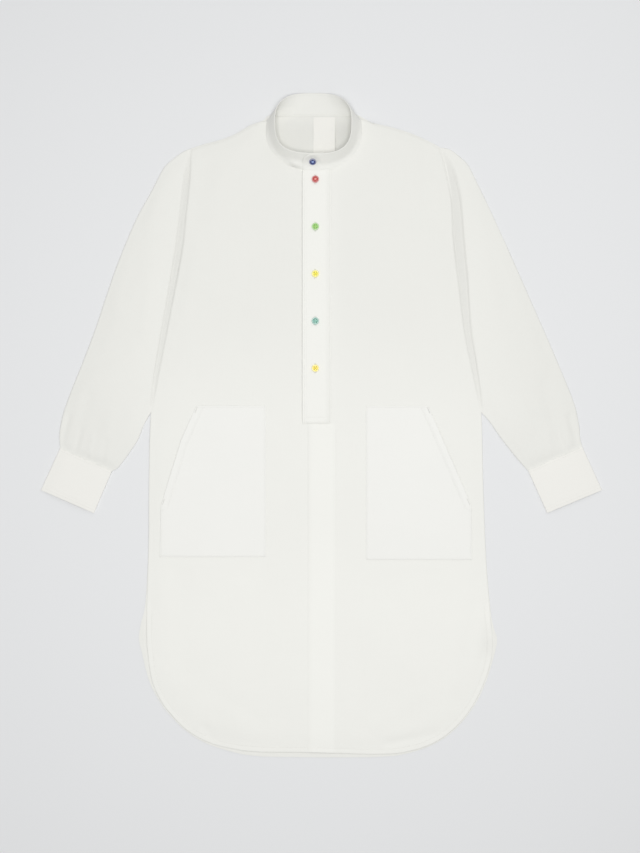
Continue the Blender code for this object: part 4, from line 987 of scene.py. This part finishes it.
def stitch_tree():
    """Geometry nodes that lay one small thread loop after another along each line of a mesh."""
    tree = bpy.data.node_groups.new("stitches", "GeometryNodeTree")
    sockets = {}
    for label, kind in (("Lines", "NodeSocketGeometry"), ("Pitch", "NodeSocketFloat"),
                        ("Along", "NodeSocketFloat"), ("Across", "NodeSocketFloat"),
                        ("Thickness", "NodeSocketFloat"), ("Thread", "NodeSocketMaterial")):
        sockets[label] = tree.interface.new_socket(label, in_out="INPUT", socket_type=kind).identifier
    tree.interface.new_socket("Stitches", in_out="OUTPUT", socket_type="NodeSocketGeometry")
    new, link = tree.nodes.new, tree.links.new
    start, end = new("NodeGroupInput"), new("NodeGroupOutput")
    lines = new("GeometryNodeMeshToCurve")
    spaced = new("GeometryNodeResampleCurve")
    spaced.mode = "LENGTH"
    loop = new("GeometryNodeMeshIcoSphere")
    loop.inputs["Radius"].default_value = 1.0
    loop.inputs["Subdivisions"].default_value = 1
    place = new("GeometryNodeInstanceOnPoints")
    tangent = new("GeometryNodeInputTangent")
    up = new("GeometryNodeInputNamedAttribute")
    up.data_type = "FLOAT_VECTOR"
    up.inputs["Name"].default_value = "up"
    turn = new("FunctionNodeAxesToRotation")
    turn.primary_axis = "X"
    turn.secondary_axis = "Z"
    size = new("ShaderNodeCombineXYZ")
    real = new("GeometryNodeRealizeInstances")
    soft = new("GeometryNodeSetShadeSmooth")
    thread = new("GeometryNodeSetMaterial")
    link(start.outputs["Lines"], lines.inputs["Mesh"])
    link(lines.outputs["Curve"], spaced.inputs["Curve"])
    link(start.outputs["Pitch"], spaced.inputs["Length"])
    link(spaced.outputs["Curve"], place.inputs["Points"])
    link(loop.outputs["Mesh"], place.inputs["Instance"])
    link(tangent.outputs["Tangent"], turn.inputs["Primary Axis"])
    link(up.outputs["Attribute"], turn.inputs["Secondary Axis"])
    link(turn.outputs["Rotation"], place.inputs["Rotation"])
    link(start.outputs["Along"], size.inputs["X"])
    link(start.outputs["Across"], size.inputs["Y"])
    link(start.outputs["Thickness"], size.inputs["Z"])
    link(size.outputs["Vector"], place.inputs["Scale"])
    link(place.outputs["Instances"], real.inputs["Geometry"])
    link(real.outputs["Geometry"], soft.inputs["Geometry"])
    link(soft.outputs["Geometry"], thread.inputs["Geometry"])
    link(start.outputs["Thread"], thread.inputs["Material"])
    link(thread.outputs["Geometry"], end.inputs["Stitches"])
    return tree, sockets


def sewn_lines(name, lines, sizes, thread, tree, sockets):
    """Stitches along lines of points and upward directions, as one plain mesh."""
    points, ups, edges = [], [], []
    for line, up in lines:
        first = len(points)
        points.extend(line)
        ups.extend(up)
        edges.extend((first + i, first + i + 1) for i in range(len(line) - 1))
    mesh = bpy.data.meshes.new(name)
    mesh.from_pydata((np.array(points) * MM).tolist(), edges, [])
    upward = mesh.attributes.new("up", "FLOAT_VECTOR", "POINT")
    upward.data.foreach_set("vector", np.array(ups, np.float32).ravel())
    obj = in_scene(name, mesh)
    sewing = obj.modifiers.new("Sewing", "NODES")
    sewing.node_group = tree
    for label, value in zip(("Pitch", "Along", "Across", "Thickness"), sizes):
        sewing[sockets[label]] = value * MM
    sewing[sockets["Thread"]] = thread
    bpy.context.view_layer.update()
    plain = bpy.data.meshes.new_from_object(obj.evaluated_get(bpy.context.evaluated_depsgraph_get()))
    obj.modifiers.clear()
    obj.data = plain
    bpy.data.meshes.remove(mesh)
    return obj


def over_panel(line, height, lift):
    """A plan line lifted onto a panel, with upward directions."""
    count = max(2, int(length_of(line) / 4))
    line = resampled(line, np.linspace(0, 1, count))
    z = height(line[:, 0], line[:, 1]) + lift
    return np.column_stack([line, z]), np.tile((0.0, 0.0, 1.0), (count, 1))


def collar_line(up, side):
    """A line round the collar at this share of its height, on its outer (1) or inner (-1) side."""
    middle, out, shares, ups, _ = collar_surface()
    row = int(np.argmin(abs(ups - up)))
    start, end = (COLLAR_END + share for share in COLLAR_STITCHED)
    keep = (shares >= start) & (shares <= end)
    points = middle[row] + out[row] * side * (BAND_CLOTH / 2 + 0.05)
    return points[keep], (out[row] * side)[keep]


def button_place(node):
    """The middle of a button's underside and the way it faces, from its solid."""
    points = np.array([v.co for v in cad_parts[node].data.vertices]) / MM
    centre = points.mean(axis=0)
    _, _, axes = np.linalg.svd(points - centre)
    facing = axes[2] * (1 if axes[2][2] > 0 else -1)
    depth = (points - centre) @ facing
    return centre + facing * depth.min(), facing


def topstitching():
    """Every visible row of stitches, as points and upward directions."""
    lines = []
    middle = (0.0, -100.0)
    hem_left, hem_right = (inset(side[side[:, 1] <= VENT_Y], HEM_STITCH_IN, middle)
                           for side in (SIDE_LEFT, SIDE_RIGHT))
    hem = np.vstack([hem_left, [(0.0, FRONT_HEM_Y + HEM_STITCH_IN)], hem_right[::-1]])
    armholes = [inset(line[line[:, 1] > UNDERARM_Y], 3.5, middle) for line in ARMHOLES]
    shoulders = [inset(line[2:], 3.0, middle) for line in SHOULDERS]
    lines += [over_panel(line, front_top, STITCH_LIFT) for line in [hem, *armholes, *shoulders]]
    plan = placket_plan()
    on_placket = PLACKET_LIFT + BAND_CLOTH + STITCH_LIFT
    for x, extra in ((PLACKET_FROM_X + 3.0, 0.6), (PLACKET_TO_X - 3.0, 0.0)):
        line = np.array([(x, plan[:, :, 1].max() - 3.0), (x, PLACKET_END_Y + 3.0)])
        lines.append(over_panel(line, front_top, on_placket + extra))
    for y in (PLACKET_END_Y + 3.0, PLACKET_END_Y + 9.0):
        line = np.array([(PLACKET_FROM_X + 3.0, y), (PLACKET_TO_X - 3.0, y)])
        lines.append(over_panel(line, front_top, on_placket))
    for corners in (POCKET_LEFT, POCKET_RIGHT):
        opening, sewn = pocket_lines(corners)
        centre = np.array(corners)[:, 1:].mean(), -90.0
        inner = np.vstack([inset(sewn[side: side + 2], 2.5, centre) for side in range(len(sewn) - 1)])
        lines.append(over_panel(inner, front_top, POCKET_LIFT + POCKET_CLOTH + STITCH_LIFT))
        lines.append(over_panel(inset(opening, 11.0, centre), front_top, POCKET_LIFT + POCKET_CLOTH + 0.45))
    return lines + [collar_line(up, side) for up in COLLAR_STITCH_UPS for side in (1.0, -1.0)]


def cuff_lines(corners):
    """Two rows of stitches across a cuff's upper side."""
    rows = np.array(corners)
    inner, outer = rows[:, 2:], rows[:, :2]
    lines = []
    for share in CUFF_STITCH_SHARES:
        a, b = resampled(inner, [share])[0], resampled(outer, [share])[0]
        step = (b - a) / np.linalg.norm(b - a)
        lines.append(np.array([a + step * 2.5, b - step * 2.5]))
    return lines


def on_mesh(obj, line, lift):
    """A plan line laid on an object's upper side, with upward directions."""
    mesh = obj.data
    tree = BVHTree.FromPolygons([v.co for v in mesh.vertices], [tuple(p.vertices) for p in mesh.polygons])
    count = max(2, int(length_of(line) / 2))
    points, ups = [], []
    for x, y in resampled(line, np.linspace(0, 1, count)):
        found, normal = tree.ray_cast(Vector((x * MM, y * MM, 0.2)), Vector((0, 0, -1)))[:2]
        if found:
            points.append(np.array(found) / MM + np.array([0, 0, lift]))
            ups.append(tuple(normal))
    return np.array(points), np.array(ups)


def buttonholes(placket):
    """Closely sewn edges of each buttonhole, and bars at the ends of the pocket openings."""
    lines = []
    for node, _, _ in BUTTONS[1:]:
        place, _ = button_place(node)
        half = BUTTONHOLE / 2
        for side in (-0.9, 0.9):
            line = np.array([(place[0] + side, place[1] - half), (place[0] + side, place[1] + half)])
            lines.append(on_mesh(placket, line, 0.05))
    for corners in (POCKET_LEFT, POCKET_RIGHT):
        opening, _ = pocket_lines(corners)
        step = (opening[-1] - opening[0]) / np.linalg.norm(opening[-1] - opening[0])
        across = np.array([-step[1], step[0]]) * (-1 if opening[0][0] > 0 else 1)
        for end, way in ((opening[0], 1.0), (opening[-1], -1.0)):
            inward = end + across * np.sign(-end[0] * across[0]) * 2.0 + step * way * 2.0
            line = np.array([inward, inward + step * way * 9.0])
            lines.append(over_panel(line, front_top, POCKET_LIFT + POCKET_CLOTH + 0.15))
    return lines


def collar_buttonhole():
    """The level buttonhole in the collar's front, just beyond the button."""
    middle, out, shares, ups, _ = collar_surface()
    keep = abs(shares + 0.001) < BUTTONHOLE / 2 / length_of(neck_loop())
    row = int(np.argmin(abs(ups - COLLAR_BUTTON_UP)))
    lines = []
    for step in (-1, 1):
        points = middle[row + step][keep] * 0.65 + middle[row][keep] * 0.35
        lines.append((points + out[row][keep] * (BAND_CLOTH / 2 + 0.05), out[row][keep]))
    return lines


def thread_paths():
    """The lines of the thread that holds a button, with their radius: two crossed bars through its holes
    and a shank down to the cloth."""
    paths = []
    for side in (-1, 1):
        a, b = np.array([-1.0, -side]), np.array([1.0, side])
        for offset in (-0.42, 0.0, 0.42):
            shift = np.array([-side, 1.0]) * offset * 0.7
            lift = 0.25 if side > 0 else 0.0
            path = []
            for t in np.linspace(-1, 1, 9):
                plan = (a * (1 - t) + b * (1 + t)) / 2 * BUTTON_HOLE_SPACING + shift
                path.append((*plan, BUTTON_THICK * 0.62 - 0.55 + (0.95 + lift) * math.sqrt(1 - t**4)))
            paths.append((path, 0.3))
    for x in (-0.6, 0.6):
        for y in (-0.6, 0.6):
            paths.append(([(x, y, z) for z in np.linspace(-0.6, 0.6, 3)], 0.55))
    return paths


def thread_cross(name, node, finish):
    """A button's thread, as round tubes."""
    place, facing = button_place(node)
    turn = Vector((0, 0, 1)).rotation_difference(Vector(facing)).to_matrix()
    bars = bmesh.new()
    for path, radius in thread_paths():
        rings = []
        for i, point in enumerate(path):
            ahead = np.array(path[min(i + 1, len(path) - 1)]) - np.array(path[max(i - 1, 0)])
            ahead = ahead / np.linalg.norm(ahead)
            side = np.cross(ahead, (0.3, 0.2, 1.0) if abs(ahead[2]) < 0.8 else (1.0, 0.0, 0.0))
            side = side / np.linalg.norm(side)
            other = np.cross(side, ahead)
            ring = []
            for angle in np.linspace(0, 2 * math.pi, 8, endpoint=False):
                at = np.array(point) + radius * (math.cos(angle) * side + math.sin(angle) * other)
                ring.append(bars.verts.new(Vector(place) * MM + turn @ Vector(at) * MM))
            rings.append(ring)
        for low, high in zip(rings, rings[1:]):
            for i in range(8):
                bars.faces.new((low[i], low[(i + 1) % 8], high[(i + 1) % 8], high[i]))
        bars.faces.new(rings[0][::-1])
        bars.faces.new(rings[-1])
    bmesh.ops.recalc_face_normals(bars, faces=bars.faces)
    mesh = bpy.data.meshes.new(name)
    bars.to_mesh(mesh)
    bars.free()
    mesh.shade_smooth()
    mesh.materials.append(finish)
    return in_scene(name, mesh)


# Finishes

def shader_group(name, inputs, outputs):
    tree = bpy.data.node_groups.new(name, "ShaderNodeTree")
    for label, kind, value in inputs:
        socket = tree.interface.new_socket(label, in_out="INPUT", socket_type=kind)
        if value is not None:
            socket.default_value = value
    for label, kind in outputs:
        tree.interface.new_socket(label, in_out="OUTPUT", socket_type=kind)
    return tree, tree.nodes.new("NodeGroupInput"), tree.nodes.new("NodeGroupOutput")


def math_node(tree, operation, first, second=None, third=None):
    """One math node, its inputs linked where they are sockets and set where they are numbers."""
    node = tree.nodes.new("ShaderNodeMath")
    node.operation = operation
    for socket, value in zip(node.inputs, (first, second, third)):
        if value is None:
            continue
        if isinstance(value, (int, float)):
            socket.default_value = value
        else:
            tree.links.new(value, socket)
    return node.outputs[0]


def noise(tree, vector, scale, detail, rough=0.5):
    node = tree.nodes.new("ShaderNodeTexNoise")
    node.inputs["Scale"].default_value = scale
    node.inputs["Detail"].default_value = detail
    node.inputs["Roughness"].default_value = rough
    tree.links.new(vector, node.inputs["Vector"])
    return node.outputs["Fac"]


def stretched(tree, vector, scale):
    node = tree.nodes.new("ShaderNodeVectorMath")
    node.operation = "MULTIPLY"
    node.inputs[1].default_value = scale
    tree.links.new(vector, node.inputs[0])
    return node.outputs[0]


def scaled(tree, colour, shade):
    """A colour made lighter or darker by a share."""
    node = tree.nodes.new("ShaderNodeVectorMath")
    node.operation = "SCALE"
    tree.links.new(colour, node.inputs[0])
    tree.links.new(shade, node.inputs["Scale"])
    return node.outputs[0]


def soft_step(tree, value, low, high, most=1.0):
    """A soft rise from nought to the most, while a value goes from low to high."""
    node = tree.nodes.new("ShaderNodeMapRange")
    node.interpolation_type = "SMOOTHSTEP"
    for label, number in (("From Min", low), ("From Max", high), ("To Max", most)):
        node.inputs[label].default_value = number
    tree.links.new(value, node.inputs["Value"])
    return node.outputs["Result"]


def mixed(tree, share, first, second):
    """A blend of two colours, each linked where it is a socket and set where it is a constant."""
    node = tree.nodes.new("ShaderNodeMix")
    node.data_type = "RGBA"
    tree.links.new(share, node.inputs["Factor"])
    for label, colour in (("A", first), ("B", second)):
        if isinstance(colour, tuple):
            node.inputs[label].default_value = colour
        else:
            tree.links.new(colour, node.inputs[label])
    return node.outputs["Result"]


def mapped(tree, vector, setting, value):
    """The place of a pattern, moved or turned."""
    node = tree.nodes.new("ShaderNodeMapping")
    node.inputs[setting].default_value = value
    tree.links.new(vector, node.inputs["Vector"])
    return node.outputs["Vector"]


def marked(tree, name):
    """The mark of this name on the mesh."""
    node = tree.nodes.new("ShaderNodeAttribute")
    node.attribute_name = name
    return node.outputs["Fac"]


def bumped(tree, shader, layers):
    """Bumps on the shader's normal, one on another. Columns: height, depth in metres, strength."""
    normal = None
    for height, depth, strength in layers:
        bump = tree.nodes.new("ShaderNodeBump")
        bump.inputs["Strength"].default_value = strength
        bump.inputs["Distance"].default_value = depth
        tree.links.new(height, bump.inputs["Height"])
        if normal:
            tree.links.new(normal, bump.inputs["Normal"])
        normal = bump.outputs["Normal"]
    tree.links.new(normal, shader.inputs["Normal"])


def weave_group():
    """Fine plain weave: over-and-under threads, slubs along both, and faint unevenness of the white."""
    tree, start, end = shader_group(
        "plain weave",
        [("Place", "NodeSocketVector", None), ("Cloth", "NodeSocketColor", None),
         ("Thread spacing", "NodeSocketFloat", THREAD_SPACING), ("Unevenness", "NodeSocketFloat", 0.02)],
        [("Colour", "NodeSocketColor"), ("Height", "NodeSocketFloat"), ("Roughness", "NodeSocketFloat")])
    link = tree.links.new
    place = start.outputs["Place"]
    parts = tree.nodes.new("ShaderNodeSeparateXYZ")
    link(place, parts.inputs[0])
    turns = math_node(tree, "DIVIDE", math.pi, start.outputs["Thread spacing"])
    warp = math_node(tree, "SINE", math_node(tree, "MULTIPLY", parts.outputs["X"], turns))
    weft = math_node(tree, "SINE", math_node(tree, "MULTIPLY", parts.outputs["Y"], turns))
    over = math_node(tree, "MULTIPLY", warp, weft)
    slub_up = noise(tree, stretched(tree, place, (900.0, 14.0, 14.0)), 1.0, 2)
    slub_across = noise(tree, stretched(tree, place, (14.0, 900.0, 14.0)), 1.0, 2)
    slubs = math_node(tree, "ADD", slub_up, slub_across)
    height = math_node(tree, "MULTIPLY_ADD", over, 0.35, math_node(tree, "MULTIPLY", slubs, 0.9))
    link(height, end.inputs["Height"])
    cloudy = noise(tree, place, 9.0, 3)
    uneven = math_node(tree, "ADD", math_node(tree, "MULTIPLY", math_node(tree, "SUBTRACT", slubs, 1.0), 0.8),
                       math_node(tree, "SUBTRACT", cloudy, 0.5))
    shade = math_node(tree, "MULTIPLY_ADD", uneven, start.outputs["Unevenness"], 1.0)
    link(scaled(tree, start.outputs["Cloth"], shade), end.inputs["Colour"])
    link(math_node(tree, "MULTIPLY_ADD", slubs, 0.10, 0.76), end.inputs["Roughness"])
    return tree


def hem_group():
    """A turned and stitched edge from the distance to it: a raised band, a stitched groove and puckers."""
    tree, start, end = shader_group(
        "turned hem",
        [("Place", "NodeSocketVector", None), ("Distance", "NodeSocketFloat", NO_HEM),
         ("Width", "NodeSocketFloat", HEM_WIDTH)],
        [("Height", "NodeSocketFloat"), ("Band", "NodeSocketFloat")])
    link = tree.links.new
    off = math_node(tree, "SUBTRACT", start.outputs["Width"], start.outputs["Distance"])
    band = soft_step(tree, off, -0.5, 0.5)
    from_stitch = math_node(tree, "SUBTRACT", off, 1.0)
    square = math_node(tree, "MULTIPLY", from_stitch, from_stitch)
    groove = math_node(tree, "EXPONENT", math_node(tree, "MULTIPLY", square, -1.2))
    near = math_node(tree, "EXPONENT", math_node(tree, "MULTIPLY", square, -0.02))
    puckers = math_node(tree, "MULTIPLY", noise(tree, start.outputs["Place"], 150.0, 1), near)
    height = math_node(tree, "ADD", math_node(tree, "MULTIPLY_ADD", groove, -0.5, band),
                       math_node(tree, "MULTIPLY", puckers, 0.8))
    link(height, end.inputs["Height"])
    link(band, end.inputs["Band"])
    return tree


def crinkle_group():
    """The faint unpressed unevenness that is left in cotton after ironing."""
    tree, start, end = shader_group("left by the iron", [("Place", "NodeSocketVector", None)],
                                    [("Height", "NodeSocketFloat")])
    place = start.outputs["Place"]
    broad = noise(tree, place, 16.0, 3, 0.45)
    fine = noise(tree, stretched(tree, place, (1.0, 0.55, 1.0)), 62.0, 2, 0.4)
    total = math_node(tree, "MULTIPLY_ADD", fine, 0.25, broad)
    tree.links.new(total, end.inputs["Height"])
    return tree


def layers_and_light_group():
    """Thin white cotton is greyer where it lies single and where shade is painted on it, whiter where it lies
    double and where light is painted on it, and a little whiter where its edge is turned.
    """
    tree, start, end = shader_group(
        "layers and painted light", [("Cloth", "NodeSocketColor", None), ("Layers and painted light", "NodeSocketFloat", 0.0),
                         ("Turned", "NodeSocketFloat", 0.0)], [("Colour", "NodeSocketColor")])
    shade = math_node(tree, "MULTIPLY_ADD", start.outputs["Layers and painted light"], -LAYERS_AND_PAINTED_LIGHT_DIMS, 1.0)
    shade = math_node(tree, "MULTIPLY_ADD", start.outputs["Turned"], 0.006, shade)
    tree.links.new(scaled(tree, start.outputs["Cloth"], shade), end.inputs["Colour"])
    return tree


def mottle_group():
    """The faint flow marks and rubbing of a moulded button, and a painted highlight that pales it towards its
    rim.
    """
    tree, start, end = shader_group(
        "moulded", [("Place", "NodeSocketVector", None), ("Moulding", "NodeSocketColor", None)],
        [("Colour", "NodeSocketColor"), ("Roughness", "NodeSocketFloat"), ("Height", "NodeSocketFloat")])
    place = start.outputs["Place"]
    flow = noise(tree, stretched(tree, place, (1.0, 2.6, 1.0)), 420.0, 3)
    rubbed = noise(tree, place, 1500.0, 2)
    shade = math_node(tree, "MULTIPLY_ADD", flow, 0.22, 0.89)
    away = tree.nodes.new("ShaderNodeVectorMath")
    away.operation = "LENGTH"
    tree.links.new(place, away.inputs[0])
    rim_highlight = soft_step(tree, away.outputs["Value"], *BUTTON_RIM, BUTTON_RIM_HIGHLIGHT)
    highlighted = mixed(tree, rim_highlight, scaled(tree, start.outputs["Moulding"], shade), BUTTON_HIGHLIGHT_WHITE)
    tree.links.new(highlighted, end.inputs["Colour"])
    tree.links.new(math_node(tree, "MULTIPLY_ADD", rubbed, 0.16, 0.22), end.inputs["Roughness"])
    tree.links.new(flow, end.inputs["Height"])
    return tree


def finish_of(name):
    made = bpy.data.materials.new(name)
    made.use_nodes = True
    tree = made.node_tree
    shader = tree.nodes["Principled BSDF"]
    place = tree.nodes.new("ShaderNodeTexCoord").outputs["Object"]
    return made, tree, shader, place


def group_node(tree, group, values):
    node = tree.nodes.new("ShaderNodeGroup")
    node.node_tree = group
    for label, value in values.items():
        if hasattr(value, "links"):
            tree.links.new(value, node.inputs[label])
        else:
            node.inputs[label].default_value = value
    return node


def cotton(name, colour, groups, turned=0.0, spacing=THREAD_SPACING, crinkle=0.0010, sheen=0.12):
    """White cotton whose weave runs at this angle, with its turned edges and what the iron left."""
    weave, hem, crinkles, layers_and_light = groups
    made, tree, shader, place = finish_of(name)
    laid = mapped(tree, place, "Rotation", (0.0, 0.0, math.radians(turned)))
    woven = group_node(tree, weave, {"Place": laid, "Cloth": linear(colour), "Thread spacing": spacing})
    edge = group_node(tree, hem, {"Place": place, "Distance": marked(tree, "hem")})
    left = group_node(tree, crinkles, {"Place": place})
    shown = group_node(tree, layers_and_light, {"Cloth": woven.outputs["Colour"], "Layers and painted light": marked(tree, "layers_and_painted_light"),
                                   "Turned": edge.outputs["Band"]})
    tree.links.new(shown.outputs["Colour"], shader.inputs["Base Color"])
    tree.links.new(woven.outputs["Roughness"], shader.inputs["Roughness"])
    shader.inputs["Sheen Weight"].default_value = sheen
    shader.inputs["Sheen Roughness"].default_value = 0.5
    shader.inputs["Specular IOR Level"].default_value = 0.25
    bumped(tree, shader, [(left.outputs["Height"], crinkle, 0.55), (edge.outputs["Height"], 0.0005, 0.8),
                          (woven.outputs["Height"], 0.00008, 0.6)])
    return made


def thread_finish(name, colour):
    """Twisted sewing thread."""
    made, tree, shader, place = finish_of(name)
    twist = noise(tree, place, 3200.0, 1)
    shaded = linear([c * 0.93 for c in colour])
    tree.links.new(mixed(tree, twist, shaded, linear(colour)), shader.inputs["Base Color"])
    shader.inputs["Roughness"].default_value = 0.6
    shader.inputs["Sheen Weight"].default_value = 0.2
    bumped(tree, shader, [(twist, 0.0001, 0.4)])
    return made


def moulded(name, colour, mottle, centre):
    """A button's moulding, whose colour a painted highlight pales away from its centre."""
    made, tree, shader, place = finish_of(name)
    centred = mapped(tree, place, "Location", [-c for c in centre])
    surface = group_node(tree, mottle, {"Place": centred, "Moulding": linear(colour)})
    tree.links.new(surface.outputs["Colour"], shader.inputs["Base Color"])
    tree.links.new(surface.outputs["Roughness"], shader.inputs["Roughness"])
    shader.inputs["Coat Weight"].default_value = 0.25
    shader.inputs["Coat Roughness"].default_value = 0.15
    bumped(tree, shader, [(surface.outputs["Height"], 0.0001, 0.15)])
    return made


# Studio

def plain_finish(name, colour):
    made = bpy.data.materials.new(name)
    made.use_nodes = True
    shader = made.node_tree.nodes["Principled BSDF"]
    shader.inputs["Base Color"].default_value = linear(colour)
    shader.inputs["Roughness"].default_value = 0.9
    return made


def make_studio():
    """A blank floor, soft light and a camera straight above."""
    mesh = bpy.data.meshes.new("floor")
    corners = [(x * FLOOR_HALF_WIDTH, y * FLOOR_HALF_WIDTH, FLOOR_TOP)
               for x, y in ((-1, -1), (1, -1), (1, 1), (-1, 1))]
    mesh.from_pydata(corners, [], [(0, 1, 2, 3)])
    mesh.materials.append(plain_finish("floor", FLOOR_GREY))
    floor = in_scene("floor", mesh)
    for name, place, width, power in LIGHTS:
        light = bpy.data.lights.new(name, "AREA")
        light.size = width
        light.energy = power
        obj = in_scene(name, light)
        obj.location = place
        obj.rotation_euler = Vector(place).to_track_quat("Z", "Y").to_euler()
    world = bpy.data.worlds.new("studio")
    world.use_nodes = True
    sky = world.node_tree.nodes["Background"]
    sky.inputs["Color"].default_value = (1.0, 1.0, 1.0, 1.0)
    sky.inputs["Strength"].default_value = SKY_STRENGTH
    bpy.context.scene.world = world
    bpy.context.scene.view_settings.view_transform = "Standard"
    camera = bpy.data.cameras.new("camera")
    camera.lens = CAMERA_LENS
    camera.sensor_width = CAMERA_SENSOR
    camera.sensor_fit = "HORIZONTAL"
    obj = in_scene("camera", camera)
    obj.location = CAMERA_PLACE
    bpy.context.scene.camera = obj


def main():
    groups = (weave_group(), hem_group(), crinkle_group(), layers_and_light_group())
    body = cotton("body cotton", CLOTH_WHITE, groups)
    sleeve_left = cotton("left sleeve cotton", CLOTH_WHITE, groups, turned=24.0)
    sleeve_right = cotton("right sleeve cotton", CLOTH_WHITE, groups, turned=-22.0)
    doubled = cotton("doubled cotton", DOUBLED_WHITE, groups, crinkle=0.0004)
    cuffs = cotton("cuff cotton", CUFF_WHITE, groups, crinkle=0.0005)
    band = cotton("collar cotton", COLLAR_WHITE, groups, crinkle=0.0004)
    pocket = cotton("pocket cotton", POCKET_WHITE, groups, crinkle=0.0007)
    tape = cotton("label tape", LABEL_WHITE, groups, spacing=TAPE_SPACING, crinkle=0.0002, sheen=0.3)
    white_thread = thread_finish("white thread", THREAD_WHITE)
    mottle = mottle_group()

    front = make_front(body)
    back = make_back(body)
    left = make_sleeve("left_sleeve", True, sleeve_left)
    right = make_sleeve("right_sleeve", False, sleeve_right)
    left_cuff = make_cuff("left_cuff", CUFF_LEFT, cuffs)
    right_cuff = make_cuff("right_cuff", CUFF_RIGHT, cuffs)
    collar = make_collar(band)
    placket = make_placket(doubled)
    left_pocket = make_pocket("left_pocket", POCKET_LEFT, pocket)
    right_pocket = make_pocket("right_pocket", POCKET_RIGHT, pocket)
    label = make_label(tape)

    # Columns: piece, node, slot, cut width, cut length, cut area, what it lies on
    sheets = [
        (front, "front", "body_cloth", 0.536, 0.986, 0.47, "back_panel"),
        (back, "back", "body_cloth", 0.554, 0.994, 0.468, ()),
        (left, "sleeve_left", "sleeve_cloth", 0.270, 0.500, 0.092, ()),
        (right, "sleeve_right", "sleeve_cloth", 0.270, 0.500, 0.090, ()),
        (left_cuff, "cuff_left", "doubled_cloth", 0.186, 0.073, None, ()),
        (right_cuff, "cuff_right", "doubled_cloth", 0.178, 0.071, None, ()),
        (collar, "collar_band", "doubled_cloth", 0.430, 0.033, None, "front_panel"),
        (placket, "placket", "doubled_cloth", 0.045, 0.397, None, "front_panel"),
        (left_pocket, "pocket_left", "pocket_cloth", 0.164, 0.238, 0.034, "front_panel"),
        (right_pocket, "pocket_right", "pocket_cloth", 0.165, 0.234, 0.034, "front_panel"),
        (label, "neck_label", "label_tape", 0.033, 0.0565, None, "back_panel"),
    ]
    for piece, node, slot, width, length, area, under in sheets:
        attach(piece, "root")
        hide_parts(node)

    tree, sockets = stitch_tree()
    rows = topstitching()
    for cuff, corners in ((left_cuff, CUFF_LEFT), (right_cuff, CUFF_RIGHT)):
        rows += [on_mesh(cuff, line, STITCH_LIFT) for line in cuff_lines(corners)]
    sizes = (STITCH_PITCH, STITCH / 2, STITCH_WIDTH / 2, STITCH_WIDTH / 2)
    sewing = sewn_lines("topstitching", rows, sizes, white_thread, tree, sockets)
    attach(sewing, "root")
    holes = sewn_lines("buttonholes", buttonholes(placket) + collar_buttonhole(), (0.75, 0.34, 0.95, 0.3),
                       white_thread, tree, sockets)
    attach(holes, "root")

    for node, moulding, thread in BUTTONS:
        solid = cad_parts[node]
        finish = moulded(f"{node} moulding", moulding, mottle, button_place(node)[0] * MM)
        for place in solid.material_slots:
            place.material = finish
        cross = thread_cross(f"thread_{node}", node, thread_finish(f"{node} thread", thread))
        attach(cross, "root")

    make_studio()


main()
